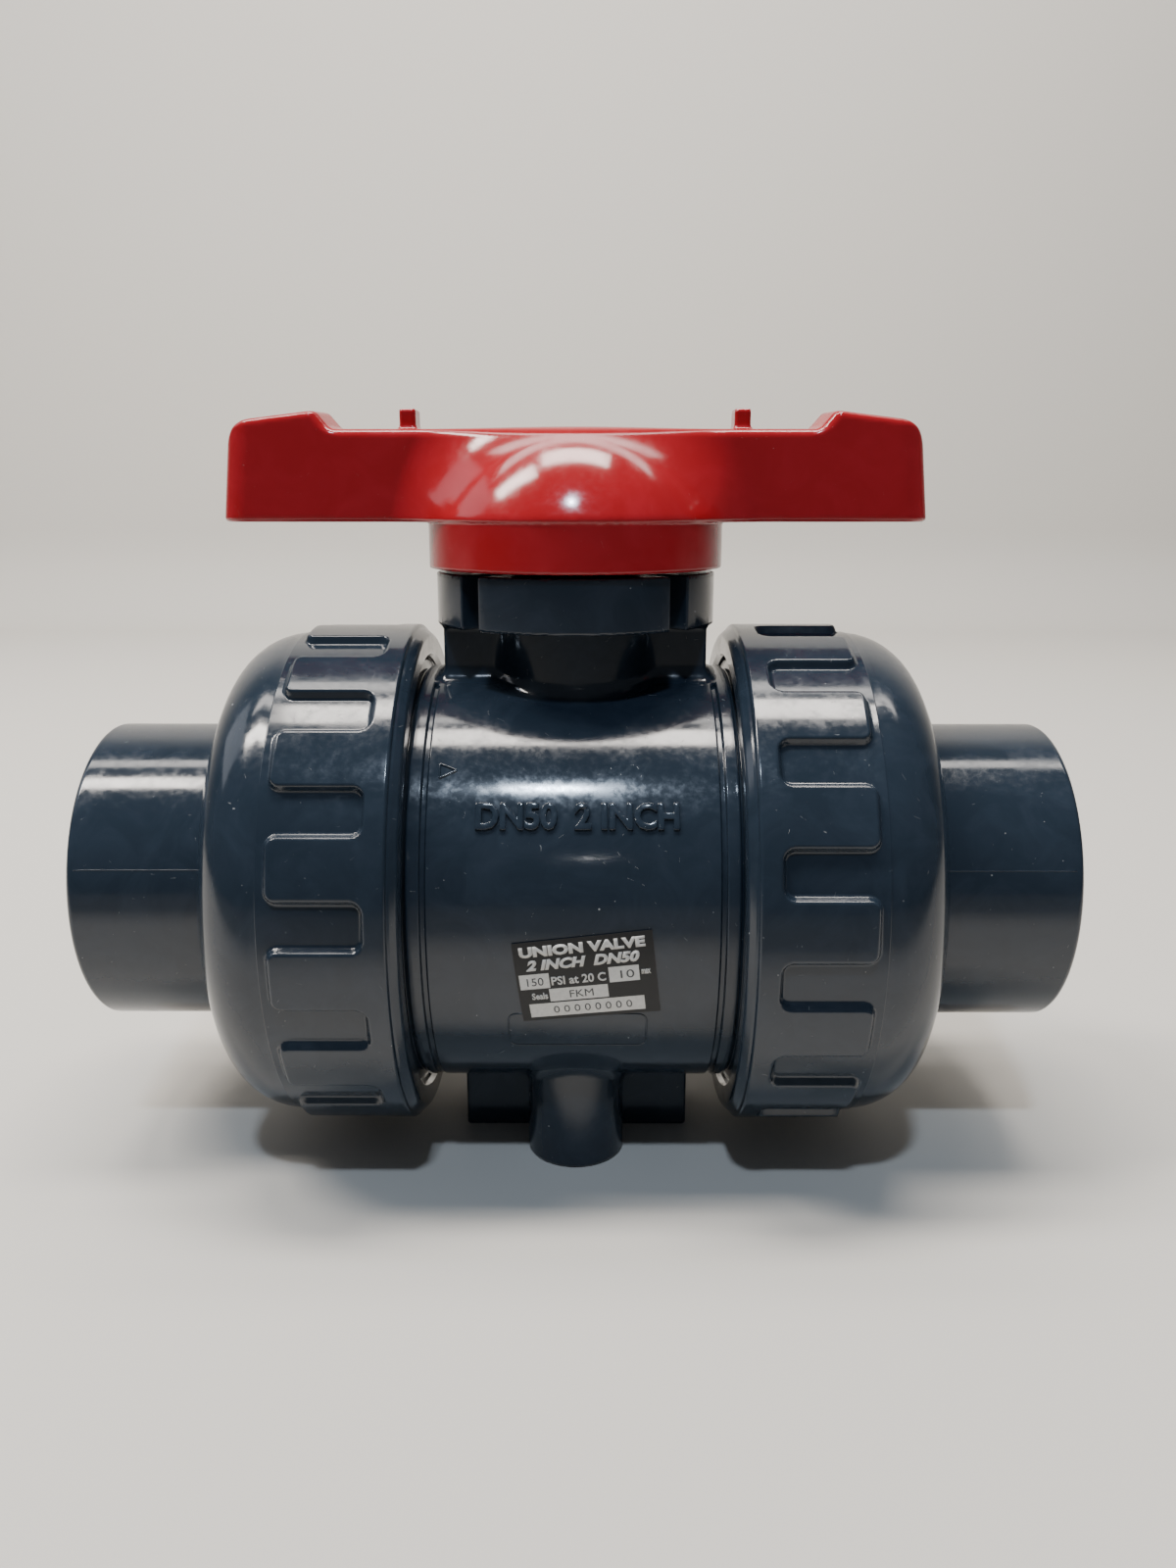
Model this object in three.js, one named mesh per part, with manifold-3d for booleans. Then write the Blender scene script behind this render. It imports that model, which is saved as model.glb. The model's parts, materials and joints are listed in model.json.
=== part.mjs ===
// True union ball valve, two inch (DN50) solvent socket ends, plastic body and tee handle.
// Millimetres, +Z up. The origin is the middle of the foot's underside. The pipe runs along X
// and the stem stands on Z.

import * as THREE from 'three';
import { mergeVertices } from 'three/addons/utils/BufferGeometryUtils.js';
import Module from 'manifold-3d';

const wasm = await Module();
wasm.setup();

// Driving dimensions.
const AXIS_HEIGHT = 66.5;
const HALF_LENGTH = 115.65;
const BORE_R = 25.5;
const GAP = 0.3;
const WELD = 1e-4;
const DEG = Math.PI / 180;
const ROUND = 32;
const SMALL_ROUND = 24;

const BODY = { r: 51.7, grooveX: 32.5, grooveDepth: 0.8, bandX: 36, threadR: 53, endX: 56 };
const CAVITY = { r: 39, pocketR: 36.4, pocketX: 20, shoulderX: 30.3, carrierX: 24, carrierR: 44.6 };
const FACE_GROOVE = { inner: 45.9, outer: 49.3, depth: 2.9 };
const SEAT = { innerR: BORE_R, outerR: 36, frontX: 21, backX: 30 };
const CUSHION = { innerR: 29.8, outerR: 33.2, depth: 3.2, ringR: 31.5, section: 1.35 };
const CARRIER = { r: 44.2, startX: 24.4, endX: 55.9, grooveX: 27.2, grooveWidth: 3.8, grooveR: 41.6 };
const SPANNER = { r: 39, radial: 4.6, across: 9, depth: 5.2 };
const BALL_R = 37.5;
const BALL_SLOT = { width: 8.8, floorZ: 30 };
const STEM = { r: 12, flangeR: 15.2, flangeZ: 38.5, flangeTop: 43.7, driveZ: 79.8, topZ: 100 };
const STEM_TANG = { width: 8, length: 20, bottomZ: 30.6 };
const STEM_GROOVES = { lower: 51.7, upper: 57.7, width: 3.4, floorR: 9.6, ringR: 10.95, section: 1.2 };
const STEM_BORE = { r: 12.3, flangeR: 15.6, shoulderZ: 46 };
const WASHER = { innerR: 12.4, outerR: 15.2, bottomZ: 44, topZ: 45.7 };
const DRIVE = 16;
const NECK = { r: 21.4, postX: 31, postY: 12 };
const PAD = { r: 33.4, bottomZ: 62.8, topZ: 75.2, notch: 5.4, notchR: 28 };
const STOP = { bossR: 15.6, r: 22.3, topZ: 79.6, from: 80, to: 100 };
const FOOT = { x: 28.3, y: 12, bossR: 11.8, bossY: 21 };
const INSERT = { r: 5, threadR: 3.6, length: 14, recess: 0.4, holeR: 5.3 };
const NUT = {
  innerX: 36.3, threadR: 53.9, threadEnd: 57, padR: 61.95, floorR: 60.1, padStart: 43.5, padEnd: 63.6,
  domeX: 66, domeR: 59.6, endX: 82, endR: 44, holeR: 37.4, pads: 16, padAngle: 13,
};
const CONNECTOR = {
  faceX: 56.3, flangeR: 51, flangeEnd: 64, hubX: 75.5, hubR: 36.75, socketX: 77.3, socketR: 30.25,
};
const NUT_PHASE = { left: 16.8, right: 152.8 };
const HANDLE = {
  collarR: 35.05, bottomZ: 76, collarTop: 87, hubTopR: 18.5, topZ: 107.6, wingX: 83.3, wingTopX: 81,
  wingY: 9.8, wingZ: 86.7, cornerR: 6.5, boreZ: 80.2, socketTop: 101, socket: DRIVE + 0.7,
};
// Outline of the hub between the collar and the roof: radius, height.
const HUB_CURVE = [[34.75, 90], [32.8, 93.5], [28.5, 99], [23.5, 104.2]];
// Hollow underside: pockets along each wing, then a ring-shaped gap inside the collar.
const CORING = { wall: 3, pockets: [[37, 56.5], [59, 76.5]], innerR: 25.5, outerR: 31.8, topZ: 91 };
const GRIP = { innerX: 52.5, crestX: 57.5, outerX: 78, crestZ: 112.3, outerZ: 109.4, halfY: 8.2 };
const TAB = { x: 39, width: 3.8, depth: 8, topZ: 112.4 };
const LABEL = { width: 31.2, height: 20.4, thickness: 0.35, x: 3.3, angle: -10.5, tilt: 6.3 };

// A closed geometry as a solid: seam vertices welded, collapsed triangles dropped, faces outward.
function solid(geometry) {
  const bare = geometry.clone();
  bare.deleteAttribute('normal');
  bare.deleteAttribute('uv');
  const welded = mergeVertices(bare, WELD);
  const points = welded.attributes.position;
  const corner = (i) => new THREE.Vector3().fromBufferAttribute(points, i);
  const faces = [];
  let volume = 0;
  for (let i = 0; i < welded.index.count; i += 3) {
    const face = [welded.index.getX(i), welded.index.getX(i + 1), welded.index.getX(i + 2)];
    if (new Set(face).size < 3) continue;
    volume += corner(face[0]).dot(corner(face[1]).cross(corner(face[2])));
    faces.push(face);
  }
  if (volume < 0) {
    faces.forEach((face) => face.reverse());
  }
  return new wasm.Manifold(new wasm.Mesh({
    numProp: 3,
    vertProperties: new Float32Array(points.array),
    triVerts: new Uint32Array(faces.flat()),
  }));
}

function geometryOf(shape) {
  const mesh = shape.getMesh();
  const geometry = new THREE.BufferGeometry();
  geometry.setAttribute('position', new THREE.BufferAttribute(mesh.vertProperties, 3));
  geometry.setIndex(new THREE.BufferAttribute(mesh.triVerts, 1));
  geometry.computeVertexNormals();
  return geometry;
}

const join = (shapes) => shapes.reduce((all, next) => all.add(next));
const cut = (shape, tools) => tools.reduce((rest, tool) => rest.subtract(tool), shape);

// Turned shapes from [radius, position along the axis] points.
function turned(profile, segments) {
  return new THREE.LatheGeometry(profile.map(([r, h]) => new THREE.Vector2(r, h)), segments);
}

const turnedX = (profile, segments = ROUND) => solid(turned(profile, segments).rotateZ(-Math.PI / 2));
const turnedZ = (profile, segments = SMALL_ROUND) => solid(turned(profile, segments).rotateX(Math.PI / 2));

const rodZ = (r, z0, z1, segments) => turnedZ([[0, z0], [r, z0], [r, z1], [0, z1]], segments);

function ring(inner, outer, from, to) {
  return [[inner, from], [outer, from], [outer, to], [inner, to], [inner, from]];
}

function roundSection(r, centre, section, steps = 6) {
  const points = [];
  for (let i = 0; i <= steps; i += 1) {
    const a = (i % steps) / steps * 2 * Math.PI;
    points.push([r + section * Math.cos(a), centre + section * Math.sin(a)]);
  }
  return points;
}

function box(x0, x1, y0, y1, z0, z1) {
  const geometry = new THREE.BoxGeometry(x1 - x0, y1 - y0, z1 - z0);
  return solid(geometry.translate((x0 + x1) / 2, (y0 + y1) / 2, (z0 + z1) / 2));
}

function prismZ(shape, z0, z1, curveSegments = 6) {
  const settings = { depth: z1 - z0, bevelEnabled: false, curveSegments };
  return solid(new THREE.ExtrudeGeometry(shape, settings).translate(0, 0, z0));
}

// A flat outline in (y, z) drawn out along X.
function prismX(shape, x0, x1) {
  const settings = { depth: x1 - x0, bevelEnabled: false, curveSegments: 6 };
  const toX = new THREE.Matrix4().makeBasis(
    new THREE.Vector3(0, 1, 0), new THREE.Vector3(0, 0, 1), new THREE.Vector3(1, 0, 0));
  return solid(new THREE.ExtrudeGeometry(shape, settings).applyMatrix4(toX).translate(x0, 0, 0));
}

// A slice of a ring about Z, between two angles in degrees.
function sector(inner, outer, from, to, z0, z1) {
  const shape = new THREE.Shape();
  shape.absarc(0, 0, outer, from * DEG, to * DEG, false);
  shape.absarc(0, 0, inner, to * DEG, from * DEG, true);
  return prismZ(shape, z0, z1, 10);
}

// Body: barrel, neck with mounting pad, foot with two bosses, cavity open at the right-hand end.
function bodySolid() {
  const { shoulderX } = CAVITY;
  const { r, grooveX, grooveDepth, bandX, threadR, endX } = BODY;
  const half = [
    [r, grooveX - 0.8], [r - grooveDepth, grooveX - 0.4], [r - grooveDepth, grooveX + 0.4],
    [r, grooveX + 0.8], [r, bandX], [r - 0.8, bandX + 0.2], [r - 0.8, bandX + 0.9],
    [threadR, bandX + 1.7], [threadR, endX - 1.5], [threadR - 1.5, endX], [0, endX],
  ];
  const barrel = turnedX([...half.map(([a, x]) => [a, -x]).reverse(), ...half]);
  const neck = rodZ(NECK.r, 0, PAD.bottomZ + 1, 24);
  const posts = box(-NECK.postX, NECK.postX, -NECK.postY, NECK.postY, 20, PAD.bottomZ + 1);
  const pad = rodZ(PAD.r, PAD.bottomZ, PAD.topZ, 32);
  const stopBoss = rodZ(STOP.bossR, PAD.topZ - 1, STOP.topZ, 24);
  const stopLug = sector(STOP.bossR - 1, STOP.r, STOP.from, STOP.to, PAD.topZ - 1, STOP.topZ);
  const foot = box(-FOOT.x, FOOT.x, -FOOT.y, FOOT.y, -AXIS_HEIGHT, -20);
  const bosses = [-1, 1].map((side) => rodZ(FOOT.bossR, -AXIS_HEIGHT, -40, 24)
    .translate(0, side * FOOT.bossY, 0));

  const faceGroove = ring(FACE_GROOVE.inner, FACE_GROOVE.outer, endX - FACE_GROOVE.depth, endX + 1);
  const cavity = turnedX([
    [0, -endX - 1], [BORE_R, -endX - 1], [BORE_R, -shoulderX - 1], [CUSHION.innerR, -shoulderX - 1],
    [CUSHION.innerR, -shoulderX - CUSHION.depth], [CUSHION.outerR, -shoulderX - CUSHION.depth],
    [CUSHION.outerR, -shoulderX], [CAVITY.pocketR, -shoulderX], [CAVITY.pocketR, -CAVITY.pocketX],
    [CAVITY.r, -CAVITY.pocketX], [CAVITY.r, CAVITY.carrierX], [CAVITY.carrierR, CAVITY.carrierX],
    [CAVITY.carrierR, endX + 1], [0, endX + 1],
  ]);
  const notches = [45, 135, 225, 315].map((angle) => join([
    rodZ(PAD.notch / 2, PAD.bottomZ - 0.01, PAD.topZ + 1, 12).translate(PAD.notchR, 0, 0),
    box(PAD.notchR, PAD.r + 2, -PAD.notch / 2, PAD.notch / 2, PAD.bottomZ - 0.01, PAD.topZ + 1),
  ]).rotate([0, 0, angle]));
  const insertHoles = [-1, 1].map((side) => rodZ(
    INSERT.holeR, -AXIS_HEIGHT - 1, -AXIS_HEIGHT + INSERT.recess + INSERT.length + GAP, 16,
  ).translate(0, side * FOOT.bossY, 0));

  return cut(join([barrel, neck, posts, pad, stopBoss, stopLug, foot, ...bosses]), [
    cavity,
    turnedX(faceGroove),
    turnedX(faceGroove.map(([a, x]) => [a, -x])),
    rodZ(STEM_BORE.r, 0, STOP.topZ + 1, 24),
    rodZ(STEM_BORE.flangeR, 0, STEM_BORE.shoulderZ, 24),
    ...notches,
    ...insertHoles,
  ]);
}

// Union nut, drawn for the right-hand end: threaded skirt, ring of grip pads, domed shoulder.
function unionNutSolid() {
  const { innerX, threadR, threadEnd, padR, floorR, padStart, padEnd } = NUT;
  const { domeX, domeR, endX, endR, holeR } = NUT;
  const inside = CONNECTOR.flangeR + 0.6;
  const dome = [];
  for (let i = 0; i <= 4; i += 1) {
    const a = i / 4 * Math.PI / 2;
    const out = (domeR - endR) * Math.cos(a) ** 0.9;
    dome.push([endR + out, domeX + (endX - domeX) * Math.sin(a) ** 1.05]);
  }
  const shell = turnedX([
    [threadR + 0.4, innerX], [padR - 3, innerX], [padR - 0.6, innerX + 1.5], [padR, innerX + 2.6],
    [padR, padStart], [floorR, padStart + 1], [floorR, domeX - 0.6], ...dome,
    [holeR + 1, endX], [holeR, endX - 1], [holeR, CONNECTOR.hubX + 1.2],
    [inside, CONNECTOR.flangeEnd + 0.8], [inside, threadEnd],
    [threadR, threadEnd], [threadR, innerX + 1], [threadR + 0.4, innerX],
  ]);
  const outline = new THREE.Shape();
  const pitch = 360 / NUT.pads;
  const half = NUT.padAngle / 2;
  for (let k = 0; k < NUT.pads; k += 1) {
    const points = [[padR, -half], [padR, half],
      [floorR, half + 1.2], [floorR, pitch - half - 1.2]];
    points.forEach(([r, a], i) => {
      const angle = (k * pitch + a) * DEG;
      const spot = [r * Math.cos(angle), r * Math.sin(angle)];
      if (k + i === 0) outline.moveTo(...spot);
      else outline.lineTo(...spot);
    });
  }
  const hole = new THREE.Path();
  hole.absarc(0, 0, floorR - 2, 0, 2 * Math.PI, true);
  outline.holes.push(hole);
  return shell.add(prismX(outline, padStart - 0.5, padEnd));
}

// End connector, drawn for the right-hand end: sealing flange, shoulder and solvent socket.
function endConnectorSolid() {
  const { faceX, flangeR, flangeEnd, hubX, hubR, socketX, socketR } = CONNECTOR;
  return turnedX([
    [BORE_R, faceX], [flangeR, faceX], [flangeR, flangeEnd],
    [hubR + 1.5, hubX - 0.6], [hubR, hubX + 2],
    [hubR, HALF_LENGTH - 1.2], [hubR - 1.2, HALF_LENGTH], [socketR + 1.2, HALF_LENGTH],
    [socketR + 0.1, HALF_LENGTH - 2], [socketR - 0.2, socketX], [BORE_R, socketX], [BORE_R, faceX],
  ]);
}

// Threaded carrier that holds the right-hand seat, with two spanner slots in its outer face.
function seatCarrierSolid() {
  const { r, startX, endX, grooveX, grooveWidth, grooveR } = CARRIER;
  const outerCushion = CAVITY.shoulderX + CUSHION.depth;
  const turnedRing = turnedX([
    [CAVITY.pocketR, startX], [r, startX], [r, grooveX], [grooveR, grooveX],
    [grooveR, grooveX + grooveWidth], [r, grooveX + grooveWidth], [r, endX], [BORE_R, endX],
    [BORE_R, CAVITY.shoulderX + 1], [CUSHION.innerR, CAVITY.shoulderX + 1], [CUSHION.innerR, outerCushion],
    [CUSHION.outerR, outerCushion], [CUSHION.outerR, CAVITY.shoulderX], [CAVITY.pocketR, CAVITY.shoulderX],
    [CAVITY.pocketR, startX],
  ]);
  const slots = [-1, 1].map((side) => box(
    endX - SPANNER.depth, endX + 1, -SPANNER.across / 2, SPANNER.across / 2,
    side * SPANNER.r - SPANNER.radial / 2, side * SPANNER.r + SPANNER.radial / 2));
  return cut(turnedRing, slots);
}

// Seat ring, drawn for the right-hand side, with a spherical face for the ball.
function seatSolid() {
  const faceR = BALL_R + GAP;
  const start = Math.asin(SEAT.innerR / faceR);
  const end = Math.acos(SEAT.frontX / faceR);
  const face = [];
  for (let i = 0; i <= 2; i += 1) {
    const a = start + (end - start) * i / 2;
    face.push([faceR * Math.sin(a), faceR * Math.cos(a)]);
  }
  return turnedX([
    ...face, [SEAT.outerR, SEAT.frontX], [SEAT.outerR, SEAT.backX], [SEAT.innerR, SEAT.backX], face[0],
  ]);
}

// Ball with its through bore along X and the slot that the stem turns it by.
function ballSolid() {
  const sphere = solid(new THREE.SphereGeometry(BALL_R, 32, 16));
  const bore = turnedX([[0, -BALL_R - 1], [BORE_R, -BALL_R - 1], [BORE_R, BALL_R + 1], [0, BALL_R + 1]]);
  const half = BALL_SLOT.width / 2;
  const slot = box(-half, half, -BALL_R, BALL_R, BALL_SLOT.floorZ, BALL_R + 1);
  return cut(sphere, [bore, slot]);
}

// Stem: tang, retaining flange, two seal grooves and a square drive.
function stemSolid() {
  const { r, flangeR, flangeZ, flangeTop, driveZ, topZ } = STEM;
  const groove = (z) => {
    const from = z - STEM_GROOVES.width / 2;
    const to = z + STEM_GROOVES.width / 2;
    return [[r, from], [STEM_GROOVES.floorR, from], [STEM_GROOVES.floorR, to], [r, to]];
  };
  const shaft = turnedZ([
    [0, flangeZ], [flangeR, flangeZ], [flangeR, flangeTop], [r, flangeTop],
    ...groove(STEM_GROOVES.lower), ...groove(STEM_GROOVES.upper), [r, driveZ], [0, driveZ],
  ], 24);
  const half = DRIVE / 2;
  const tang = box(
    -STEM_TANG.width / 2, STEM_TANG.width / 2, -STEM_TANG.length / 2, STEM_TANG.length / 2,
    STEM_TANG.bottomZ, flangeZ + 1);
  return join([shaft, tang, box(-half, half, -half, half, driveZ - 1, topZ)]);
}

function roundedRectangle(x, y, r) {
  const shape = new THREE.Shape();
  shape.absarc(x - r, y - r, r, 0, Math.PI / 2);
  shape.absarc(-x + r, y - r, r, Math.PI / 2, Math.PI);
  shape.absarc(-x + r, -y + r, r, Math.PI, 1.5 * Math.PI);
  shape.absarc(x - r, -y + r, r, 1.5 * Math.PI, 2 * Math.PI);
  return shape;
}

// A side view drawn in X and Z, given its thickness evenly on both sides of the middle plane.
function prismY(face, halfY) {
  const drawn = new THREE.ExtrudeGeometry(face, { depth: 2 * halfY, bevelEnabled: false });
  return solid(drawn.rotateX(Math.PI / 2).translate(0, halfY, 0));
}

// Tee handle: collar, domed hub, two wings with raised grips, spanner tabs, cored underside.
function handleSolid() {
  const { collarR, bottomZ, collarTop, hubTopR, topZ } = HANDLE;
  const { wingX, wingTopX, wingY, wingZ, cornerR } = HANDLE;
  const collar = turnedZ([
    [0, bottomZ], [collarR, bottomZ], [collarR, collarTop], ...HUB_CURVE, [hubTopR, topZ], [0, topZ],
  ], 40);
  const wing = prismZ(roundedRectangle(wingX, wingY, cornerR), wingZ, topZ, 4);
  const draft = (wingX - wingTopX) / (topZ - wingZ);
  const trims = [-1, 1].map((side) => {
    const face = new THREE.Shape([
      new THREE.Vector2(side * wingX, wingZ - 1), new THREE.Vector2(side * (wingX + 5), wingZ - 1),
      new THREE.Vector2(side * (wingX + 5), topZ + 1),
      new THREE.Vector2(side * (wingTopX - draft), topZ + 1),
    ]);
    return prismY(face, wingY + 1);
  });
  const grips = [-1, 1].map((side) => {
    const face = new THREE.Shape([
      new THREE.Vector2(side * GRIP.innerX, topZ - 1),
      new THREE.Vector2(side * GRIP.outerX, topZ - 1),
      new THREE.Vector2(side * GRIP.outerX, GRIP.outerZ),
      new THREE.Vector2(side * GRIP.crestX, GRIP.crestZ),
    ]);
    return prismY(face, GRIP.halfY);
  });
  const tabs = [-1, 1].map((side) => box(
    side * TAB.x - TAB.width / 2, side * TAB.x + TAB.width / 2, -TAB.depth / 2, TAB.depth / 2,
    topZ - 1, TAB.topZ));

  const pockets = [-1, 1].flatMap((side) => CORING.pockets.map(([from, to]) => box(
    Math.min(side * from, side * to), Math.max(side * from, side * to),
    -wingY + CORING.wall, wingY - CORING.wall, wingZ - 1, topZ - 2 * CORING.wall)));
  const annulus = turnedZ([
    [CORING.innerR, bottomZ - 1], [CORING.outerR, bottomZ - 1], [CORING.outerR, CORING.topZ - 3],
    [CORING.outerR - 2.8, CORING.topZ], [CORING.innerR, CORING.topZ], [CORING.innerR, bottomZ - 1],
  ], 24);
  const half = HANDLE.socket / 2;
  return cut(join([collar, cut(wing, trims), ...grips, ...tabs]), [
    ...pockets,
    annulus,
    rodZ(STOP.bossR + 0.6, bottomZ - 1, HANDLE.boreZ, 24),
    sector(STOP.bossR - 1, STOP.r + 0.6, STOP.from - 1, STOP.to + 91, bottomZ - 1, HANDLE.boreZ),
    box(-half, half, -half, half, bottomZ - 1, HANDLE.socketTop),
  ]);
}

// Rating label: a thin sheet bent round the barrel, slightly askew.
function labelSolid() {
  const inner = BODY.r + GAP;
  const sheet = new THREE.BoxGeometry(LABEL.width, LABEL.height, LABEL.thickness, 1, 8, 1);
  sheet.rotateZ(LABEL.tilt * DEG);
  const points = sheet.attributes.position;
  for (let i = 0; i < points.count; i += 1) {
    const angle = LABEL.angle * DEG + points.getY(i) / inner;
    const r = inner + LABEL.thickness / 2 + points.getZ(i);
    points.setXYZ(i, LABEL.x + points.getX(i), -r * Math.cos(angle), r * Math.sin(angle));
  }
  return solid(sheet);
}

const finishes = {
  casing: { color: 0x2b3138, roughness: 0.22, metalness: 0 },
  ball: { color: 0x3a3f45, roughness: 0.15, metalness: 0 },
  grip: { color: 0xb01822, roughness: 0.2, metalness: 0 },
  seat: { color: 0xe9e7e0, roughness: 0.5, metalness: 0 },
  seal: { color: 0x1a1a1a, roughness: 0.6, metalness: 0 },
  insert: { color: 0xb8923c, roughness: 0.35, metalness: 1 },
  label: { color: 0x33373c, roughness: 0.5, metalness: 0 },
};

function part(name, shape, finish) {
  const mesh = new THREE.Mesh(geometryOf(shape), new THREE.MeshStandardMaterial(finishes[finish]));
  mesh.name = name;
  return mesh;
}

const valve = new THREE.Group();
valve.position.z = AXIS_HEIGHT;

// Pieces that both ends have. The left-hand end is the right-hand end turned half round.
for (const side of ['left', 'right']) {
  const end = new THREE.Group();
  end.rotation.z = side === 'left' ? Math.PI : 0;
  const nut = part(`${side}_union_nut`, unionNutSolid(), 'casing');
  nut.rotation.x = NUT_PHASE[side] * DEG;
  const cushionX = CAVITY.shoulderX + CUSHION.depth / 2;
  const cushion = turnedX(roundSection(CUSHION.ringR, cushionX, CUSHION.section));
  const faceRing = roundSection((FACE_GROOVE.inner + FACE_GROOVE.outer) / 2, BODY.endX - 1.4, 1.25);
  end.add(
    part(`${side}_end_connector`, endConnectorSolid(), 'casing'),
    nut,
    part(`${side}_seat`, seatSolid(), 'seat'),
    part(`${side}_seat_cushion`, cushion, 'seal'),
    part(`${side}_face_o_ring`, turnedX(faceRing), 'seal'),
  );
  valve.add(end);
}

const washer = ring(WASHER.innerR, WASHER.outerR, WASHER.bottomZ, WASHER.topZ);
const carrierRing = roundSection(
  (CARRIER.grooveR + CAVITY.carrierR) / 2, CARRIER.grooveX + CARRIER.grooveWidth / 2, 1.2);
valve.add(
  part('body', bodySolid(), 'casing'),
  part('ball', ballSolid(), 'ball'),
  part('stem', stemSolid(), 'casing'),
  part('handle', handleSolid(), 'grip'),
  part('seat_carrier', seatCarrierSolid(), 'casing'),
  part('carrier_o_ring', turnedX(carrierRing), 'seal'),
  part('stem_thrust_washer', turnedZ(washer), 'seat'),
  part('rating_label', labelSolid(), 'label'),
);

for (const place of ['lower', 'upper']) {
  const section = roundSection(STEM_GROOVES.ringR, STEM_GROOVES[place], STEM_GROOVES.section);
  valve.add(part(`stem_o_ring_${place}`, turnedZ(section), 'seal'));
}

for (const [place, side] of [['front', -1], ['rear', 1]]) {
  const bottom = -AXIS_HEIGHT + INSERT.recess;
  const insert = part(`${place}_base_insert`, turnedZ(
    ring(INSERT.threadR, INSERT.r, bottom, bottom + INSERT.length), 16), 'insert');
  insert.position.y = side * FOOT.bossY;
  valve.add(insert);
}

export default valve;
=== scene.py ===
import json
import math

import bmesh
import bpy
import numpy as np
from bpy.props import FloatProperty, FloatVectorProperty, IntProperty, PointerProperty, StringProperty
from mathutils import Euler, Matrix, Vector


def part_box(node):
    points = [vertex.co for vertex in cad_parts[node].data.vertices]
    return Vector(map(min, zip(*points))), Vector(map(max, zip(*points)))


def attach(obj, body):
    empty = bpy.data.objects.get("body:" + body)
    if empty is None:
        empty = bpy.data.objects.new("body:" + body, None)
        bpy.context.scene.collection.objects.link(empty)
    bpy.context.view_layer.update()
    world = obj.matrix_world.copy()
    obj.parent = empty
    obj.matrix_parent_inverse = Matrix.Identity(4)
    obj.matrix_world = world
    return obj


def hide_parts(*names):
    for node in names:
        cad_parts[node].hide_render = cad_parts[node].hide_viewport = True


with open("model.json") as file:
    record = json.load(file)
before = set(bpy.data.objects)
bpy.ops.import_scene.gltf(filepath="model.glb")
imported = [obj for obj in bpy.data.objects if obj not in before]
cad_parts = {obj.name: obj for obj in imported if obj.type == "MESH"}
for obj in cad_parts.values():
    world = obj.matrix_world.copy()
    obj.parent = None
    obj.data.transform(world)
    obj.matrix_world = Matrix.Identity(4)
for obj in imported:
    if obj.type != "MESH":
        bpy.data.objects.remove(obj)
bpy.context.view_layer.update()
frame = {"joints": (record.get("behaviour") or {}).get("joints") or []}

bl_info = {
    "name": "True union ball valve",
    "version": (1, 0, 0),
    "blender": (4, 5, 0),
    "location": "View3D > Sidebar > Valve",
    "description": "Builds the moulded pieces, seals and stage of a two inch true union ball valve",
    "category": "Add Mesh",
}

MM = 0.001
JOINTS = {joint["name"]: joint for joint in frame["joints"]}
AXIS_Z = JOINTS["ball_turn"]["pos_m"][2] / MM
AXIS = np.array((0.0, 0.0, AXIS_Z))
NUT_LEAD = JOINTS["right_union_draw"]["range_m"][1] / JOINTS["right_nut_turn"]["range_deg"][1] * 360 / MM
SIDES = {"left": np.array((-1.0, -1.0, 1.0)), "right": np.array((1.0, 1.0, 1.0))}

# Sizes in millimetres that several pieces share.
BORE = 25.5  # radius of the flow bore
HUB = 36.75  # outside radius of a hub
SEAT_POCKET = 36.4  # radius of the pocket that holds a seat
SEAT_STOP = 30.3  # where a seat's pocket ends along the pipe
CUSHION_INNER, CUSHION_OUTER = 29.8, 33.2  # radii of the groove for a seat's cushion
CUSHION_FLOOR = 33.5  # where that groove ends along the pipe
BORE_EDGE = 31.3  # where the bore begins past the cushion's groove
NUT_THREAD = 53.9  # radius at the roots of a nut's thread
CROWN, LUG = 15.6, 22.3  # radii of the handle stop's round boss and of its lug
ROOT = 46.0  # neck and foot reach into the barrel's wall down to this radius


def low(node, axis):
    """Lowest coordinate of a CAD node in millimetres from the pipe and stem axes."""
    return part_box(node)[0]["xyz".index(axis)] / MM - AXIS["xyz".index(axis)]


def high(node, axis):
    """Highest coordinate of a CAD node in millimetres from the pipe and stem axes."""
    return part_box(node)[1]["xyz".index(axis)] / MM - AXIS["xyz".index(axis)]


# Shapes are worked out in millimetres from the crossing of the pipe axis and the stem axis.

def skin(name, points, faces, normals=None):
    """A mesh object from points in millimetres, shaded smooth."""
    mesh = bpy.data.meshes.new(name)
    mesh.from_pydata(((points + AXIS) * MM).tolist(), [], [list(face) for face in faces])
    mesh.update()
    mesh.shade_smooth()
    if normals is not None:
        mesh.normals_split_custom_set_from_vertices(normals.tolist())
    piece = bpy.data.objects.new(name, mesh)
    bpy.context.collection.objects.link(piece)
    return piece


def unit(vectors):
    """The same directions with a length of 1."""
    length = np.linalg.norm(vectors, axis=-1, keepdims=True)
    return vectors / np.maximum(length, 1e-12)


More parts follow.
